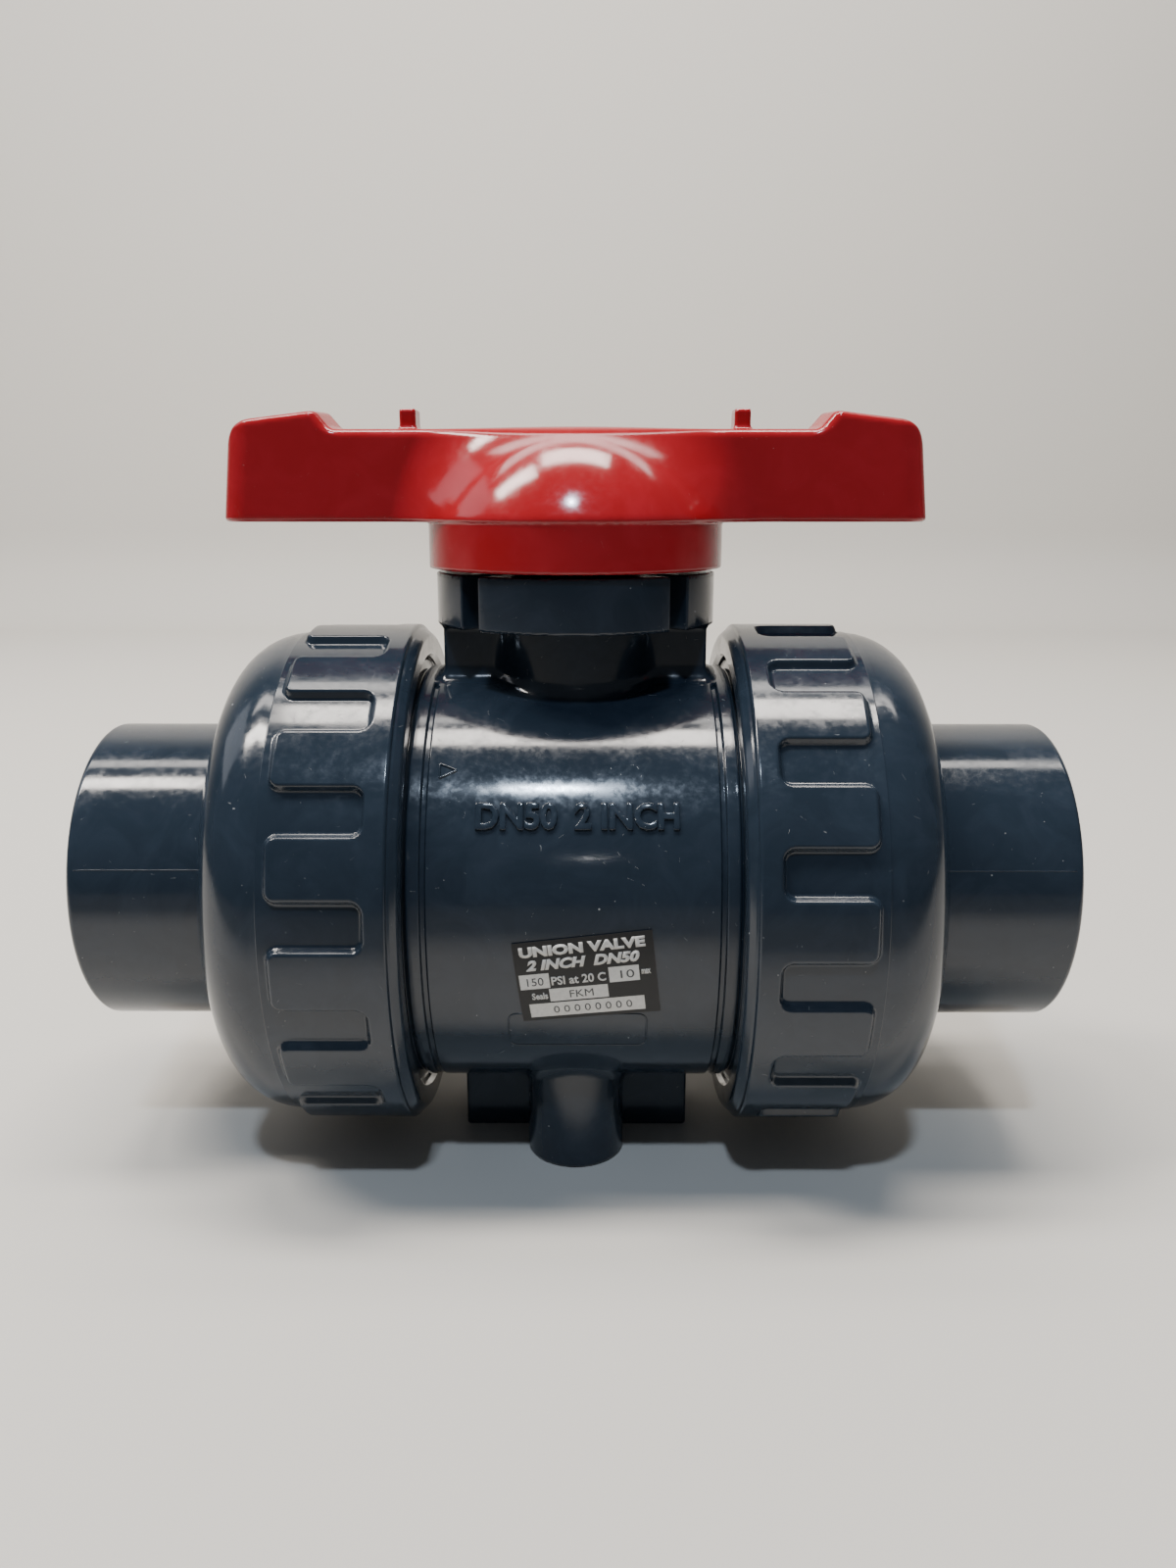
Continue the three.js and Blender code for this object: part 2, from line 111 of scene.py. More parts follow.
def filleted(corners, arc_step=14.0):
    """A closed outline through (a, b, fillet radius) corners, with each corner rounded by an arc."""
    outline = []
    count = len(corners)
    for i, (a, b, radius) in enumerate(corners):
        here = np.array((a, b), float)
        before = np.array(corners[i - 1][:2], float) - here
        after = np.array(corners[(i + 1) % count][:2], float) - here
        reach = 0.48 * min(np.linalg.norm(before), np.linalg.norm(after))
        before, after = unit(before), unit(after)
        half = math.acos(np.clip(before @ after, -1, 1)) / 2
        tangent = min(radius / math.tan(half), reach) if half < math.pi / 2 - 0.01 else 0
        if tangent <= 0:
            outline.append(here)
            continue
        arc = tangent * math.tan(half)
        centre = here + unit(before + after) * arc / math.sin(half)
        start = here + before * tangent - centre
        turn = math.pi - 2 * half
        steps = max(2, round(math.degrees(turn) / arc_step))
        sense = np.sign(before[0] * after[1] - before[1] * after[0])
        for k in range(steps + 1):
            swing = -sense * turn * k / steps
            cosine, sine = math.cos(swing), math.sin(swing)
            swung = (cosine * start[0] - sine * start[1], sine * start[0] + cosine * start[1])
            outline.append(centre + swung)
    return np.array(outline)


def spaced(outline, step):
    """A closed outline with no side longer than step, a length or a function of the side's middle."""
    points = []
    for start, end in zip(outline, np.roll(outline, -1, axis=0)):
        limit = step((start + end) / 2) if callable(step) else step
        parts = max(1, math.ceil(np.linalg.norm(end - start) / limit))
        points += [start + (end - start) * k / parts for k in range(parts)]
    return np.array(points)


def turned(name, outline, segments, side="right", axis="x", raise_by=None):
    """Turns a closed (radius, height) outline about the pipe or stem axis.

    segments is their number or a list of angles. raise_by(height, angle, radius) moves a point
    outwards, for threads and grip pads."""
    angle = np.arange(segments) * 2 * math.pi / segments if isinstance(segments, int) else segments
    segments = len(angle)
    radius, height = (np.repeat(outline[:, k:k + 1], segments, axis=1) for k in (0, 1))
    turn = np.repeat(angle[None, :], len(outline), axis=0)
    if raise_by:
        radius = radius + raise_by(height, turn, radius)
    ring = (radius * np.cos(turn), radius * np.sin(turn))
    grid = np.stack((height, *ring) if axis == "x" else (*ring, height), axis=-1)
    along = np.roll(grid, -1, axis=0) - np.roll(grid, 1, axis=0)
    around = np.roll(grid, -1, axis=1) - np.roll(grid, 1, axis=1)
    normals = unit(np.cross(around, along))
    rows, columns = np.meshgrid(np.arange(len(outline)), np.arange(segments), indexing="ij")
    corner = [(rows + i) % len(outline) * segments + (columns + j) % segments for i, j in
              ((0, 0), (0, 1), (1, 1), (1, 0))]
    faces = np.stack(corner, axis=-1).reshape(-1, 4)
    centre = grid.reshape(-1, 3)
    a, b, c = (centre[faces[:, k]] for k in range(3))
    if np.einsum("ij,ij->i", a, np.cross(b, c)).sum() < 0:
        faces = faces[:, ::-1]
        normals = -normals
    turned_side = SIDES[side]
    return skin(name, centre * turned_side, faces, normals.reshape(-1, 3) * turned_side)


# Distance fields: negative inside. Used where a moulding's walls meet in fillets.

def gap_box(p, centre, half, rounding):
    """A box with rounded edges, from its middle and half sizes."""
    q = np.abs(p - centre) - np.array(half) + rounding
    outside = np.linalg.norm(np.maximum(q, 0), axis=1)
    return outside + np.minimum(q.max(axis=1), 0) - rounding


def gap_rod(p, axis, centre, radius, start, end, rounding):
    """A round rod with rounded ends along one axis."""
    across = [k for k in range(3) if k != axis]
    offset = p[:, across] - np.array(centre)
    q = np.stack((np.linalg.norm(offset, axis=1) - radius,
                  np.abs(p[:, axis] - (start + end) / 2) - (end - start) / 2), axis=1) + rounding
    return np.linalg.norm(np.maximum(q, 0), axis=1) + np.minimum(q.max(axis=1), 0) - rounding


def gap_outline(radius, height, outline):
    """A turned shape, from each point's radius and height and a closed outline of both."""
    distance = np.full(len(radius), 1e9)
    inside = np.zeros(len(radius), bool)
    for (a0, b0), (a1, b1) in zip(outline, np.roll(outline, -1, axis=0)):
        side = np.array((a1 - a0, b1 - b0))
        x, y = radius - a0, height - b0
        t = np.clip((x * side[0] + y * side[1]) / max(side @ side, 1e-12), 0, 1)
        distance = np.minimum(distance, np.hypot(x - t * side[0], y - t * side[1]))
        crosses = (b0 > height) != (b1 > height)
        with np.errstate(divide="ignore", invalid="ignore"):
            inside ^= crosses & (radius < (a1 - a0) * (height - b0) / (b1 - b0) + a0)
    return np.where(inside, -distance, distance)


def fillet_join(a, b, radius):
    """Union of two fields with a concave fillet."""
    near = np.hypot(np.maximum(radius - a, 0), np.maximum(radius - b, 0))
    return np.maximum(radius, np.minimum(a, b)) - near


def round_cut(a, b, radius):
    """Intersection of two fields with a rounded edge."""
    near = np.hypot(np.maximum(radius + a, 0), np.maximum(radius + b, 0))
    return np.minimum(-radius, np.maximum(a, b)) + near


def net(name, field, lower, upper, cell):
    """The closed surface of a distance field: a point in each crossed cell, pulled onto the surface."""
    margin = 2.3 * cell
    start = np.array(lower, float) - margin
    counts = np.ceil((np.array(upper) + margin - start) / cell).astype(int) + 1
    lines = [start[k] + cell * np.arange(counts[k]) for k in range(3)]
    value = np.empty(counts)
    for i, x in enumerate(lines[0]):
        y, z = np.meshgrid(lines[1], lines[2], indexing="ij")
        plane = np.stack((np.full(y.size, x), y.ravel(), z.ravel()), axis=1)
        value[i] = field(plane).reshape(counts[1:])
    total = np.zeros((value.size, 3))
    number = np.zeros(value.size)
    quads = []
    for axis in range(3):
        step = np.eye(3, dtype=int)[axis]
        near = value[tuple(slice(0, counts[k] - step[k]) for k in range(3))]
        far = value[tuple(slice(step[k], counts[k]) for k in range(3))]
        hit = (near < 0) != (far < 0)
        place = np.argwhere(hit)
        share = near[hit] / (near[hit] - far[hit])
        point = start + cell * (place + share[:, None] * step)
        others = [k for k in range(3) if k != axis]
        ring = []
        for i, j in ((0, 0), (1, 0), (1, 1), (0, 1)):
            owner = place.copy()
            owner[:, others[0]] -= i
            owner[:, others[1]] -= j
            flat = np.ravel_multi_index(owner.T, counts)
            np.add.at(total, flat, point)
            np.add.at(number, flat, 1)
            ring.append(flat)
        ring = np.stack(ring, axis=1)
        flip = (near[hit] >= 0) != (axis == 1)
        ring[flip] = ring[flip][:, ::-1]
        quads.append(ring)
    used, faces = np.unique(np.concatenate(quads), return_inverse=True)
    points = total[used] / number[used][:, None]
    faces = faces.reshape(-1, 4)

    def slope(p, reach=0.02):
        rises = [field(p + reach * way) - field(p - reach * way) for way in np.eye(3)]
        return np.stack(rises, axis=1) / (2 * reach)

    for _ in range(3):
        grade = slope(points)
        steepness = np.maximum((grade ** 2).sum(axis=1), 0.05)
        shift = grade * (field(points) / steepness)[:, None]
        points = points - np.clip(shift, -cell, cell)
    return skin(name, points, faces, unit(slope(points)))


# Materials.

def linear(hex_colour):
    """An sRGB hex colour as linear red, green, blue and alpha."""
    channels = [int(hex_colour.lstrip("#")[k:k + 2], 16) / 255 for k in (0, 2, 4)]
    return (*(c / 12.92 if c <= 0.04045 else ((c + 0.055) / 1.055) ** 2.4 for c in channels), 1.0)


def add(tree, kind, inputs=None, **settings):
    """Adds a node with its settings, values and links."""
    node = tree.nodes.new(kind)
    for name, value in settings.items():
        setattr(node, name, value)
    for name, value in (inputs or {}).items():
        socket = node.inputs[name]
        if isinstance(value, bpy.types.NodeSocket):
            tree.links.new(value, socket)
        else:
            socket.default_value = value
    return node


def new_material(name):
    """An empty node material, its node tree, and the object coordinates that its patterns use."""
    material = bpy.data.materials.new(name)
    material.use_nodes = True
    tree = material.node_tree
    tree.nodes.clear()
    place = add(tree, "ShaderNodeTexCoord").outputs["Object"]
    return material, tree, place


def ramp(tree, factor, stops):
    """A colour ramp through (position, colour or grey) stops."""
    node = add(tree, "ShaderNodeValToRGB", {"Fac": factor})
    while len(node.color_ramp.elements) < len(stops):
        node.color_ramp.elements.new(0.5)
    for element, (position, colour) in zip(node.color_ramp.elements, stops):
        element.position = position
        element.color = colour if hasattr(colour, "__len__") else (colour, colour, colour, 1.0)
    return node.outputs["Color"]


# Colour sockets of Blender's mix node, which has equally named sockets for each kind of value.
MIX_BASE, MIX_OVER, MIX_RESULT = 6, 7, 2


def moulded_gloss(name, colour, haze, dust, rough_low, rough_high, wave_mm, wave_depth_mm, wear):
    """Polished mould plastic: a clear gloss over a deep colour, handled and a little dusty.

    The gloss breaks up into faint smears, the surface has the slow waviness of a shrunken
    moulding, and specks of dust sit on it."""
    material, tree, place = new_material(name)
    smears = add(tree, "ShaderNodeTexNoise", {
        "Vector": place, "Scale": 1 / (14 * MM), "Detail": 5.0, "Roughness": 0.62, "Distortion": 1.2})
    rubbed = add(tree, "ShaderNodeTexNoise", {
        "Vector": place, "Scale": 1 / (1.6 * MM), "Detail": 3.0, "Roughness": 0.6})
    haziness = add(tree, "ShaderNodeMath", {0: smears.outputs["Fac"], 1: rubbed.outputs["Fac"]},
                   operation="MULTIPLY")
    roughness = add(tree, "ShaderNodeMapRange", {
        "Value": haziness.outputs[0], "From Min": 0.18, "From Max": 0.40,
        "To Min": rough_low, "To Max": rough_high})
    cells = add(tree, "ShaderNodeTexVoronoi", {
        "Vector": place, "Scale": 1 / (3.4 * MM), "Randomness": 1.0})
    size = add(tree, "ShaderNodeTexNoise", {"Vector": place, "Scale": 1 / (7 * MM), "Detail": 2.0})
    edge = add(tree, "ShaderNodeMapRange", {
        "Value": size.outputs["Fac"], "From Min": 0.44, "From Max": 0.8,
        "To Min": 0.0, "To Max": 0.03 + 0.05 * wear})
    dot = add(tree, "ShaderNodeMath", {0: cells.outputs["Distance"], 1: edge.outputs["Result"]},
              operation="LESS_THAN")
    strokes = add(tree, "ShaderNodeTexNoise", {
        "Vector": place, "Scale": 1 / (10 * MM), "Detail": 0.0, "Distortion": 0.3})
    middle = add(tree, "ShaderNodeMath", {0: strokes.outputs["Fac"], 1: 0.5, 2: 0.0008 * wear},
                 operation="COMPARE")
    broken = add(tree, "ShaderNodeMath", {0: rubbed.outputs["Fac"], 1: 0.62}, operation="GREATER_THAN")
    scratch = add(tree, "ShaderNodeMath", {0: middle.outputs[0], 1: broken.outputs[0]},
                  operation="MULTIPLY")
    speck = add(tree, "ShaderNodeMath", {0: dot.outputs[0], 1: scratch.outputs[0]}, operation="MAXIMUM")
    bloom = ramp(tree, smears.outputs["Fac"], [(0.42, linear(colour)), (0.72, linear(haze))])
    tint = add(tree, "ShaderNodeMix", {
        "Factor": speck.outputs[0], MIX_BASE: bloom, MIX_OVER: linear(dust)}, data_type="RGBA")
    waves = add(tree, "ShaderNodeTexNoise", {
        "Vector": place, "Scale": 1 / (wave_mm * MM), "Detail": 1.0, "Roughness": 0.4})
    bump = add(tree, "ShaderNodeBump", {
        "Height": waves.outputs["Fac"], "Strength": 1.0, "Distance": wave_depth_mm * MM})
    grit = add(tree, "ShaderNodeBump", {
        "Height": speck.outputs[0], "Normal": bump.outputs["Normal"],
        "Strength": 0.5, "Distance": 0.05 * MM})
    surface = add(tree, "ShaderNodeBsdfPrincipled", {
        "Base Color": tint.outputs[MIX_RESULT], "Roughness": roughness.outputs["Result"],
        "Normal": grit.outputs["Normal"], "IOR": 1.53})
    add(tree, "ShaderNodeOutputMaterial", {"Surface": surface.outputs["BSDF"]})
    return material


def fine_grained(name, colours, rough_low, rough_high, grain_mm, depth_mm, ior=1.45, metallic=0.0):
    """A plain solid with fine grain: machined polymer, moulded rubber or turned metal."""
    material, tree, place = new_material(name)
    grain = add(tree, "ShaderNodeTexNoise", {
        "Vector": place, "Scale": 1 / (grain_mm * MM), "Detail": 5.0, "Roughness": 0.6})
    colour = ramp(tree, grain.outputs["Fac"], [(0.35, linear(colours[0])), (0.65, linear(colours[1]))])
    roughness = add(tree, "ShaderNodeMapRange", {
        "Value": grain.outputs["Fac"], "From Min": 0.3, "From Max": 0.7,
        "To Min": rough_low, "To Max": rough_high})
    bump = add(tree, "ShaderNodeBump", {
        "Height": grain.outputs["Fac"], "Strength": 0.6, "Distance": depth_mm * MM})
    surface = add(tree, "ShaderNodeBsdfPrincipled", {
        "Base Color": colour, "Roughness": roughness.outputs["Result"],
        "Normal": bump.outputs["Normal"], "Metallic": metallic})
    if not metallic:
        surface.inputs["IOR"].default_value = ior
    add(tree, "ShaderNodeOutputMaterial", {"Surface": surface.outputs["BSDF"]})
    return material


_made = {}


def material(name):
    """A finish by name, made once."""
    if name not in _made:
        _made[name] = FINISHES[name]()
    return _made[name]


FINISHES = {
    # Unplasticised PVC, injection moulded in a polished mould: nearly black blue-grey, clear gloss.
    "moulded_pvc": lambda: moulded_gloss(
        "moulded_pvc", "#202a35", "#27313d", "#9a9ea0", 0.10, 0.21, 24.0, 0.10, 1.0),
    # ABS, injection moulded: saturated red with a slightly softer gloss than the PVC.
    "moulded_abs": lambda: moulded_gloss(
        "moulded_abs", "#a01a21", "#a71e27", "#c98a88", 0.12, 0.20, 30.0, 0.08, 0.3),
    # PVC ball, machined and polished.
    "polished_pvc": lambda: fine_grained(
        "polished_pvc", ("#20262d", "#272e36"), 0.10, 0.18, 1.5, 0.003, 1.53),
    # PTFE, turned: waxy white with a fine tool mark.
    "turned_ptfe": lambda: fine_grained(
        "turned_ptfe", ("#dedcd4", "#ebe9e2"), 0.42, 0.55, 0.6, 0.01, 1.35),
    # Fluoroelastomer rubber, moulded: black with a dull bloom.
    "moulded_fkm": lambda: fine_grained(
        "moulded_fkm", ("#0e0e0f", "#191a1b"), 0.55, 0.75, 0.4, 0.01, 1.5),
    # Brass, turned: yellow metal with fine variation.
    "turned_brass": lambda: fine_grained(
        "turned_brass", ("#b98e45", "#c99f57"), 0.25, 0.4, 0.8, 0.005, metallic=1.0),
    # Polyester label film, printed matt dark grey.
    "printed_film": lambda: fine_grained(
        "printed_film", ("#121315", "#17181a"), 0.42, 0.52, 0.7, 0.004, 1.45),
    # White ink on the film.
    "white_ink": lambda: fine_grained(
        "white_ink", ("#c9c8c4", "#d6d5d1"), 0.45, 0.6, 0.7, 0.004, 1.5),
    # Dark ink typed on the white fields.
    "typed_ink": lambda: fine_grained(
        "typed_ink", ("#3a3b3d", "#505254"), 0.5, 0.6, 0.3, 0.002, 1.5),
}


def finish(piece, body, slot, finish_name, *nodes):
    """Rides the piece on its body, hides the CAD nodes it stands for and gives it its finish."""
    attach(piece, body)
    if nodes:
        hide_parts(*nodes)
    piece.data.materials.append(material(finish_name))
    return piece


# Threads: both ends have the same right-hand lead.

def thread_wave(height, angle, flat, flank):
    """1 on the crest and 0 in the root of a right-hand trapezoid thread."""
    cycle = (height / NUT_LEAD - angle / (2 * math.pi)) % 1.0
    return np.clip((flat + flank - np.abs(cycle - 0.5)) / flank, 0, 1)


def fade(value, start, end, run):
    """0 outside start to end, 1 inside, with a smooth run at both ends."""
    t = np.clip(np.minimum(value - start, end - value) / run, 0, 1)
    return t * t * (3 - 2 * t)


class CasingSizes(bpy.types.PropertyGroup):
    barrel: FloatProperty(name="Barrel radius", description="Outside radius of the barrel",
                          default=0.0517, unit="LENGTH")
    band: FloatProperty(name="Band start", description="Middle of the groove beside the end band",
                        default=0.0325, unit="LENGTH")
    band_end: FloatProperty(name="Band end", description="Outer edge of the band, where the thread begins",
                            default=0.036, unit="LENGTH")
    neck: FloatProperty(name="Neck radius", description="Radius of the neck",
                        default=0.0214, unit="LENGTH")
    pad: FloatProperty(name="Pad radius", description="Radius of the mounting pad",
                       default=0.0334, unit="LENGTH")
    pad_bottom: FloatProperty(name="Pad underside",
                              description="Height of the pad's underside above the pipe axis",
                              default=0.0628, unit="LENGTH")
    pad_top: FloatProperty(name="Pad top", description="Height of the pad's top above the pipe axis",
                           default=0.0752, unit="LENGTH")
    fillet: FloatProperty(name="Neck fillet", description="Fillet between neck and barrel",
                          default=0.003, unit="LENGTH")
    boss: FloatProperty(name="Foot boss radius", description="Radius of the two round bosses",
                        default=0.0118, unit="LENGTH")
    boss_y: FloatProperty(name="Foot boss offset", description="Distance of each boss from the pipe axis",
                          default=0.021, unit="LENGTH")


class NutSizes(bpy.types.PropertyGroup):
    pads: IntProperty(name="Grip pads", description="Raised pads round each nut", default=16)
    pad_width: FloatProperty(name="Pad width", description="Width of one pad",
                             default=math.radians(13), unit="ROTATION")
    pad_height: FloatProperty(name="Pad height", description="Height of a pad above the recess",
                              default=0.00185, unit="LENGTH")
    pad_start: FloatProperty(name="Pad start", description="Where the recesses begin along the pipe",
                             default=0.0436, unit="LENGTH")
    pad_end: FloatProperty(name="Pad end", description="Where the pads end along the pipe",
                           default=0.0636, unit="LENGTH")
    corner: FloatProperty(name="Pad corner radius", description="Radius of the pads' and recesses' corners",
                          default=0.0024, unit="LENGTH")
    wall: FloatProperty(name="Pad wall", description="Width of the sloping wall round a pad",
                        default=0.001, unit="LENGTH")
    left_turn: FloatProperty(name="Left nut turn", description="Angle of a pad's middle above the front",
                             default=math.radians(16.8), unit="ROTATION")
    right_turn: FloatProperty(name="Right nut turn", description="Angle of a pad's middle above the front",
                              default=math.radians(27.2), unit="ROTATION")


class HandleSizes(bpy.types.PropertyGroup):
    collar: FloatProperty(name="Collar radius", description="Radius of the round collar",
                          default=0.03505, unit="LENGTH")
    wing: FloatProperty(name="Wing half thickness", description="Half the thickness of a wing",
                        default=0.0098, unit="LENGTH")
    blend: FloatProperty(name="Hub blend", description="Concave fillet between hub and wing",
                         default=0.012, unit="LENGTH")
    tip: FloatProperty(name="Tip corner", description="Radius of the wing tip's upright corners",
                       default=0.0065, unit="LENGTH")
    edge: FloatProperty(name="Top edge", description="Radius of the handle's top edge",
                        default=0.002, unit="LENGTH")


class LabelSizes(bpy.types.PropertyGroup):
    width: FloatProperty(name="Label width", description="Length of the label along the pipe",
                         default=0.0304, unit="LENGTH")
    height: FloatProperty(name="Label height", description="Width of the label round the barrel",
                          default=0.0204, unit="LENGTH")
    x: FloatProperty(name="Label place", description="Middle of the label along the pipe",
                     default=0.0029, unit="LENGTH")
    angle: FloatProperty(name="Label angle", description="Angle of its middle above the front",
                         default=math.radians(-10.5), unit="ROTATION")
    tilt: FloatProperty(name="Label tilt", description="How far it was stuck on askew",
                        default=math.radians(6.3), unit="ROTATION")


class StageSettings(bpy.types.PropertyGroup):
    floor: StringProperty(name="Floor colour", description="Colour of the floor and backdrop as sRGB hex",
                          default="#c9c6c0")
    eye: FloatVectorProperty(name="Camera place", description="Where the camera stands",
                             default=(0.00395, -0.28957, 0.15786), unit="LENGTH")
    pitch: FloatProperty(name="Camera pitch", description="How far the camera looks down",
                         default=math.radians(13.497), unit="ROTATION")
    heading: FloatProperty(name="Camera heading", description="How far the camera looks to the left",
                           default=math.radians(0.191), unit="ROTATION")
    lens: FloatProperty(name="Lens", description="Focal length in millimetres on a 36 mm sensor",
                        default=27.018)


def sizes(group, *names):
    """Named lengths of a settings group in millimetres."""
    return [getattr(group, name) / MM for name in names]


def barrel_outline(sizes_group):
    """Outline of the barrel's wall: outside, right-hand end, cavity, left-hand end."""
    barrel, band, band_end = sizes(sizes_group, "barrel", "band", "band_end")
    end = high("body", "x")
    thread = high("body", "y")
    groove, relief = barrel - 0.9, barrel - 1.0
    seal_inner, seal_outer, seal_floor = 45.9, 49.3, end - 2.9
    right = [
        (barrel, band - 0.8, 0.25), (groove, band - 0.55, 0.2), (groove, band + 0.45, 0.2),
        (barrel, band + 0.7, 0.3), (barrel, band_end, 0.5), (relief, band_end + 0.2, 0.2),
        (relief, band_end + 0.9, 0.2), (thread, band_end + 1.8, 0.2), (thread, end - 1.6, 0.2),
        (thread - 1.6, end, 0.2), (seal_outer, end, 0.25), (seal_outer, seal_floor, 0.3),
        (seal_inner, seal_floor, 0.3), (seal_inner, end, 0.25),
    ]
    left = [(r, -x, f) for r, x, f in right]
    inside = [
        (44.6, end, 0.5), (44.6, 24.0, 0.3), (39.0, 24.0, 0.4), (39.0, -20.0, 0.3),
        (SEAT_POCKET, -20.0, 0.3), (SEAT_POCKET, -SEAT_STOP, 0.3),
        (CUSHION_OUTER, -SEAT_STOP, 0.2), (CUSHION_OUTER, -CUSHION_FLOOR, 0.3),
        (CUSHION_INNER, -CUSHION_FLOOR, 0.3), (CUSHION_INNER, -BORE_EDGE, 0.2),
        (BORE, -BORE_EDGE, 0.3), (BORE, -end, 0.8),
    ]
    return filleted(left[::-1] + right + inside)


class VALVE_OT_barrel(bpy.types.Operator):
    """Barrel of the body with its end bands, union threads and cavity"""
    bl_idname = "valve.barrel"
    bl_label = "Barrel"

    def execute(self, context):
        group = context.scene.casing_sizes
        outline = spaced(barrel_outline(group), 0.42)
        outline = outline[self.thinned(outline, group.band_end / MM)]
        end = high("body", "x")
        crest = high("body", "y")
        depth = 2.2

        def thread(height, angle, radius):
            shown = fade(np.abs(height), 37.8, end - 0.6, 1.6) * (radius > crest - 0.1)
            left = height < 0
            wave = np.where(left, thread_wave(-height, np.pi - angle, 0.17, 0.16),
                            thread_wave(height, angle, 0.17, 0.16))
            return -depth * shown * (1 - wave)

        barrel = turned("body_barrel", outline, 224, raise_by=thread)
        finish(barrel, "valve_body", "casing", "moulded_pvc", "body")
        return {"FINISHED"}

    @staticmethod
    def thinned(outline, band_end):
        """Which points stay: all of them along the threads and corners, one in 14 on other straights."""
        ahead = np.roll(outline, -1, axis=0) - outline
        behind = outline - np.roll(outline, 1, axis=0)
        straight = np.abs(unit(ahead) - unit(behind)).sum(axis=1) < 1e-6
        threads = (np.abs(outline[:, 1]) > band_end) & (outline[:, 0] > 52)
        spare = np.flatnonzero(straight & ~threads)
        keep = np.ones(len(outline), bool)
        keep[spare] = np.arange(1, len(spare) + 1) % 14 == 0
        return keep


class VALVE_OT_neck(bpy.types.Operator):
    """Neck, side ribs, notched mounting pad and handle stop on top of the barrel"""
    bl_idname = "valve.neck"
    bl_label = "Neck and pad"

    def execute(self, context):
        group = context.scene.casing_sizes
        barrel, neck, pad, pad_bottom, pad_top, fillet = sizes(
            group, "barrel", "neck", "pad", "pad_bottom", "pad_top", "fillet")
        top = high("body", "z")
        stem_bore, flange_bore, flange_top = 12.3, 15.6, 46.0
        notches, notch_start, notch_half = 4, 28, 2.7
        lug_angle, lug_half = 90, 10

        def field(p):
            tube = np.hypot(p[:, 1], p[:, 2]) - (barrel - 0.03)
            column = gap_rod(p, 2, (0, 0), neck, 0, pad_bottom + 4, 0)
            ribs = gap_box(p, (0, 0, 40), (31, 12, pad_bottom - 38), 0.8)
            disc = gap_rod(p, 2, (0, 0), pad, pad_bottom, pad_top, 0.5)
            for k in range(notches):
                turn = math.radians(45 + 90 * k)
                along = p[:, 0] * math.cos(turn) + p[:, 1] * math.sin(turn)
                across = -p[:, 0] * math.sin(turn) + p[:, 1] * math.cos(turn)
                slot = np.hypot(np.minimum(along - notch_start, 0), across) - notch_half
                disc = round_cut(disc, -slot, 0.5)
            riser = fillet_join(column, ribs, 2.0)
            shape = fillet_join(fillet_join(tube, riser, fillet), disc, 0.8)
            crown = gap_rod(p, 2, (0, 0), CROWN, pad_top - 2, top, 0.4)
            turn = np.degrees(np.arctan2(p[:, 1], p[:, 0])) - lug_angle
            reach = np.hypot(p[:, 0], p[:, 1])
            lug = np.maximum(np.maximum(reach - LUG, p[:, 2] - top), pad_top - 2 - p[:, 2])
            lug = round_cut(lug, (np.abs(turn) - lug_half) * math.pi / 180 * reach, 0.4)
            lug = np.maximum(lug, 12 - reach)
            shape = fillet_join(shape, np.minimum(crown, lug), 0.5)
            shape = round_cut(shape, stem_bore - reach, 0.5)
            pocket = np.maximum(reach - flange_bore, p[:, 2] - flange_top)
            shape = np.maximum(shape, -pocket)
            rooted = np.maximum(riser - fillet - 0.2, ROOT - np.hypot(p[:, 1], p[:, 2]))
            return np.maximum(shape, np.minimum(rooted, 56 - p[:, 2]))

        neck_piece = net("body_neck", field, (-34.3, -pad, 38), (34.3, pad, top), 0.75)
        finish(neck_piece, "valve_body", "casing", "moulded_pvc")
        return {"FINISHED"}


class VALVE_OT_foot(bpy.types.Operator):
    """Foot plate and its two round bosses under the barrel"""
    bl_idname = "valve.foot"
    bl_label = "Foot"

    def execute(self, context):
        group = context.scene.casing_sizes
        barrel, boss, boss_y = sizes(group, "barrel", "boss", "boss_y")
        ground = low("body", "z")
        hole = high("front_base_insert", "x") + 0.3
        hole_top = high("front_base_insert", "z") + 0.3

        def field(p):
            tube = np.hypot(p[:, 1], p[:, 2]) - (barrel - 0.03)
            plate = gap_box(p, (0, 0, (ground - 30) / 2), (28.3, 12, (-30 - ground) / 2), 0.7)
            side = np.where(p[:, 1] < 0, -1.0, 1.0)
            local = p.copy()
            local[:, 1] = p[:, 1] - side * boss_y
            post = gap_rod(local, 2, (0, 0), boss, ground, -32, 0.9)
            riser = np.maximum(fillet_join(plate, post, 1.2), ground - p[:, 2])
            shape = fillet_join(riser, tube, 2.0)
            drill = np.maximum(np.hypot(local[:, 0], local[:, 1]) - hole, local[:, 2] - hole_top)
            shape = round_cut(shape, -drill, 0.3)
            rooted = np.maximum(riser - 2.2, ROOT - np.hypot(p[:, 1], p[:, 2]))
            return np.maximum(shape, rooted)

        foot = net("body_foot", field, (-31, -35.5, ground), (31, 35.5, -30), 0.8)
        finish(foot, "valve_body", "casing", "moulded_pvc")
        return {"FINISHED"}


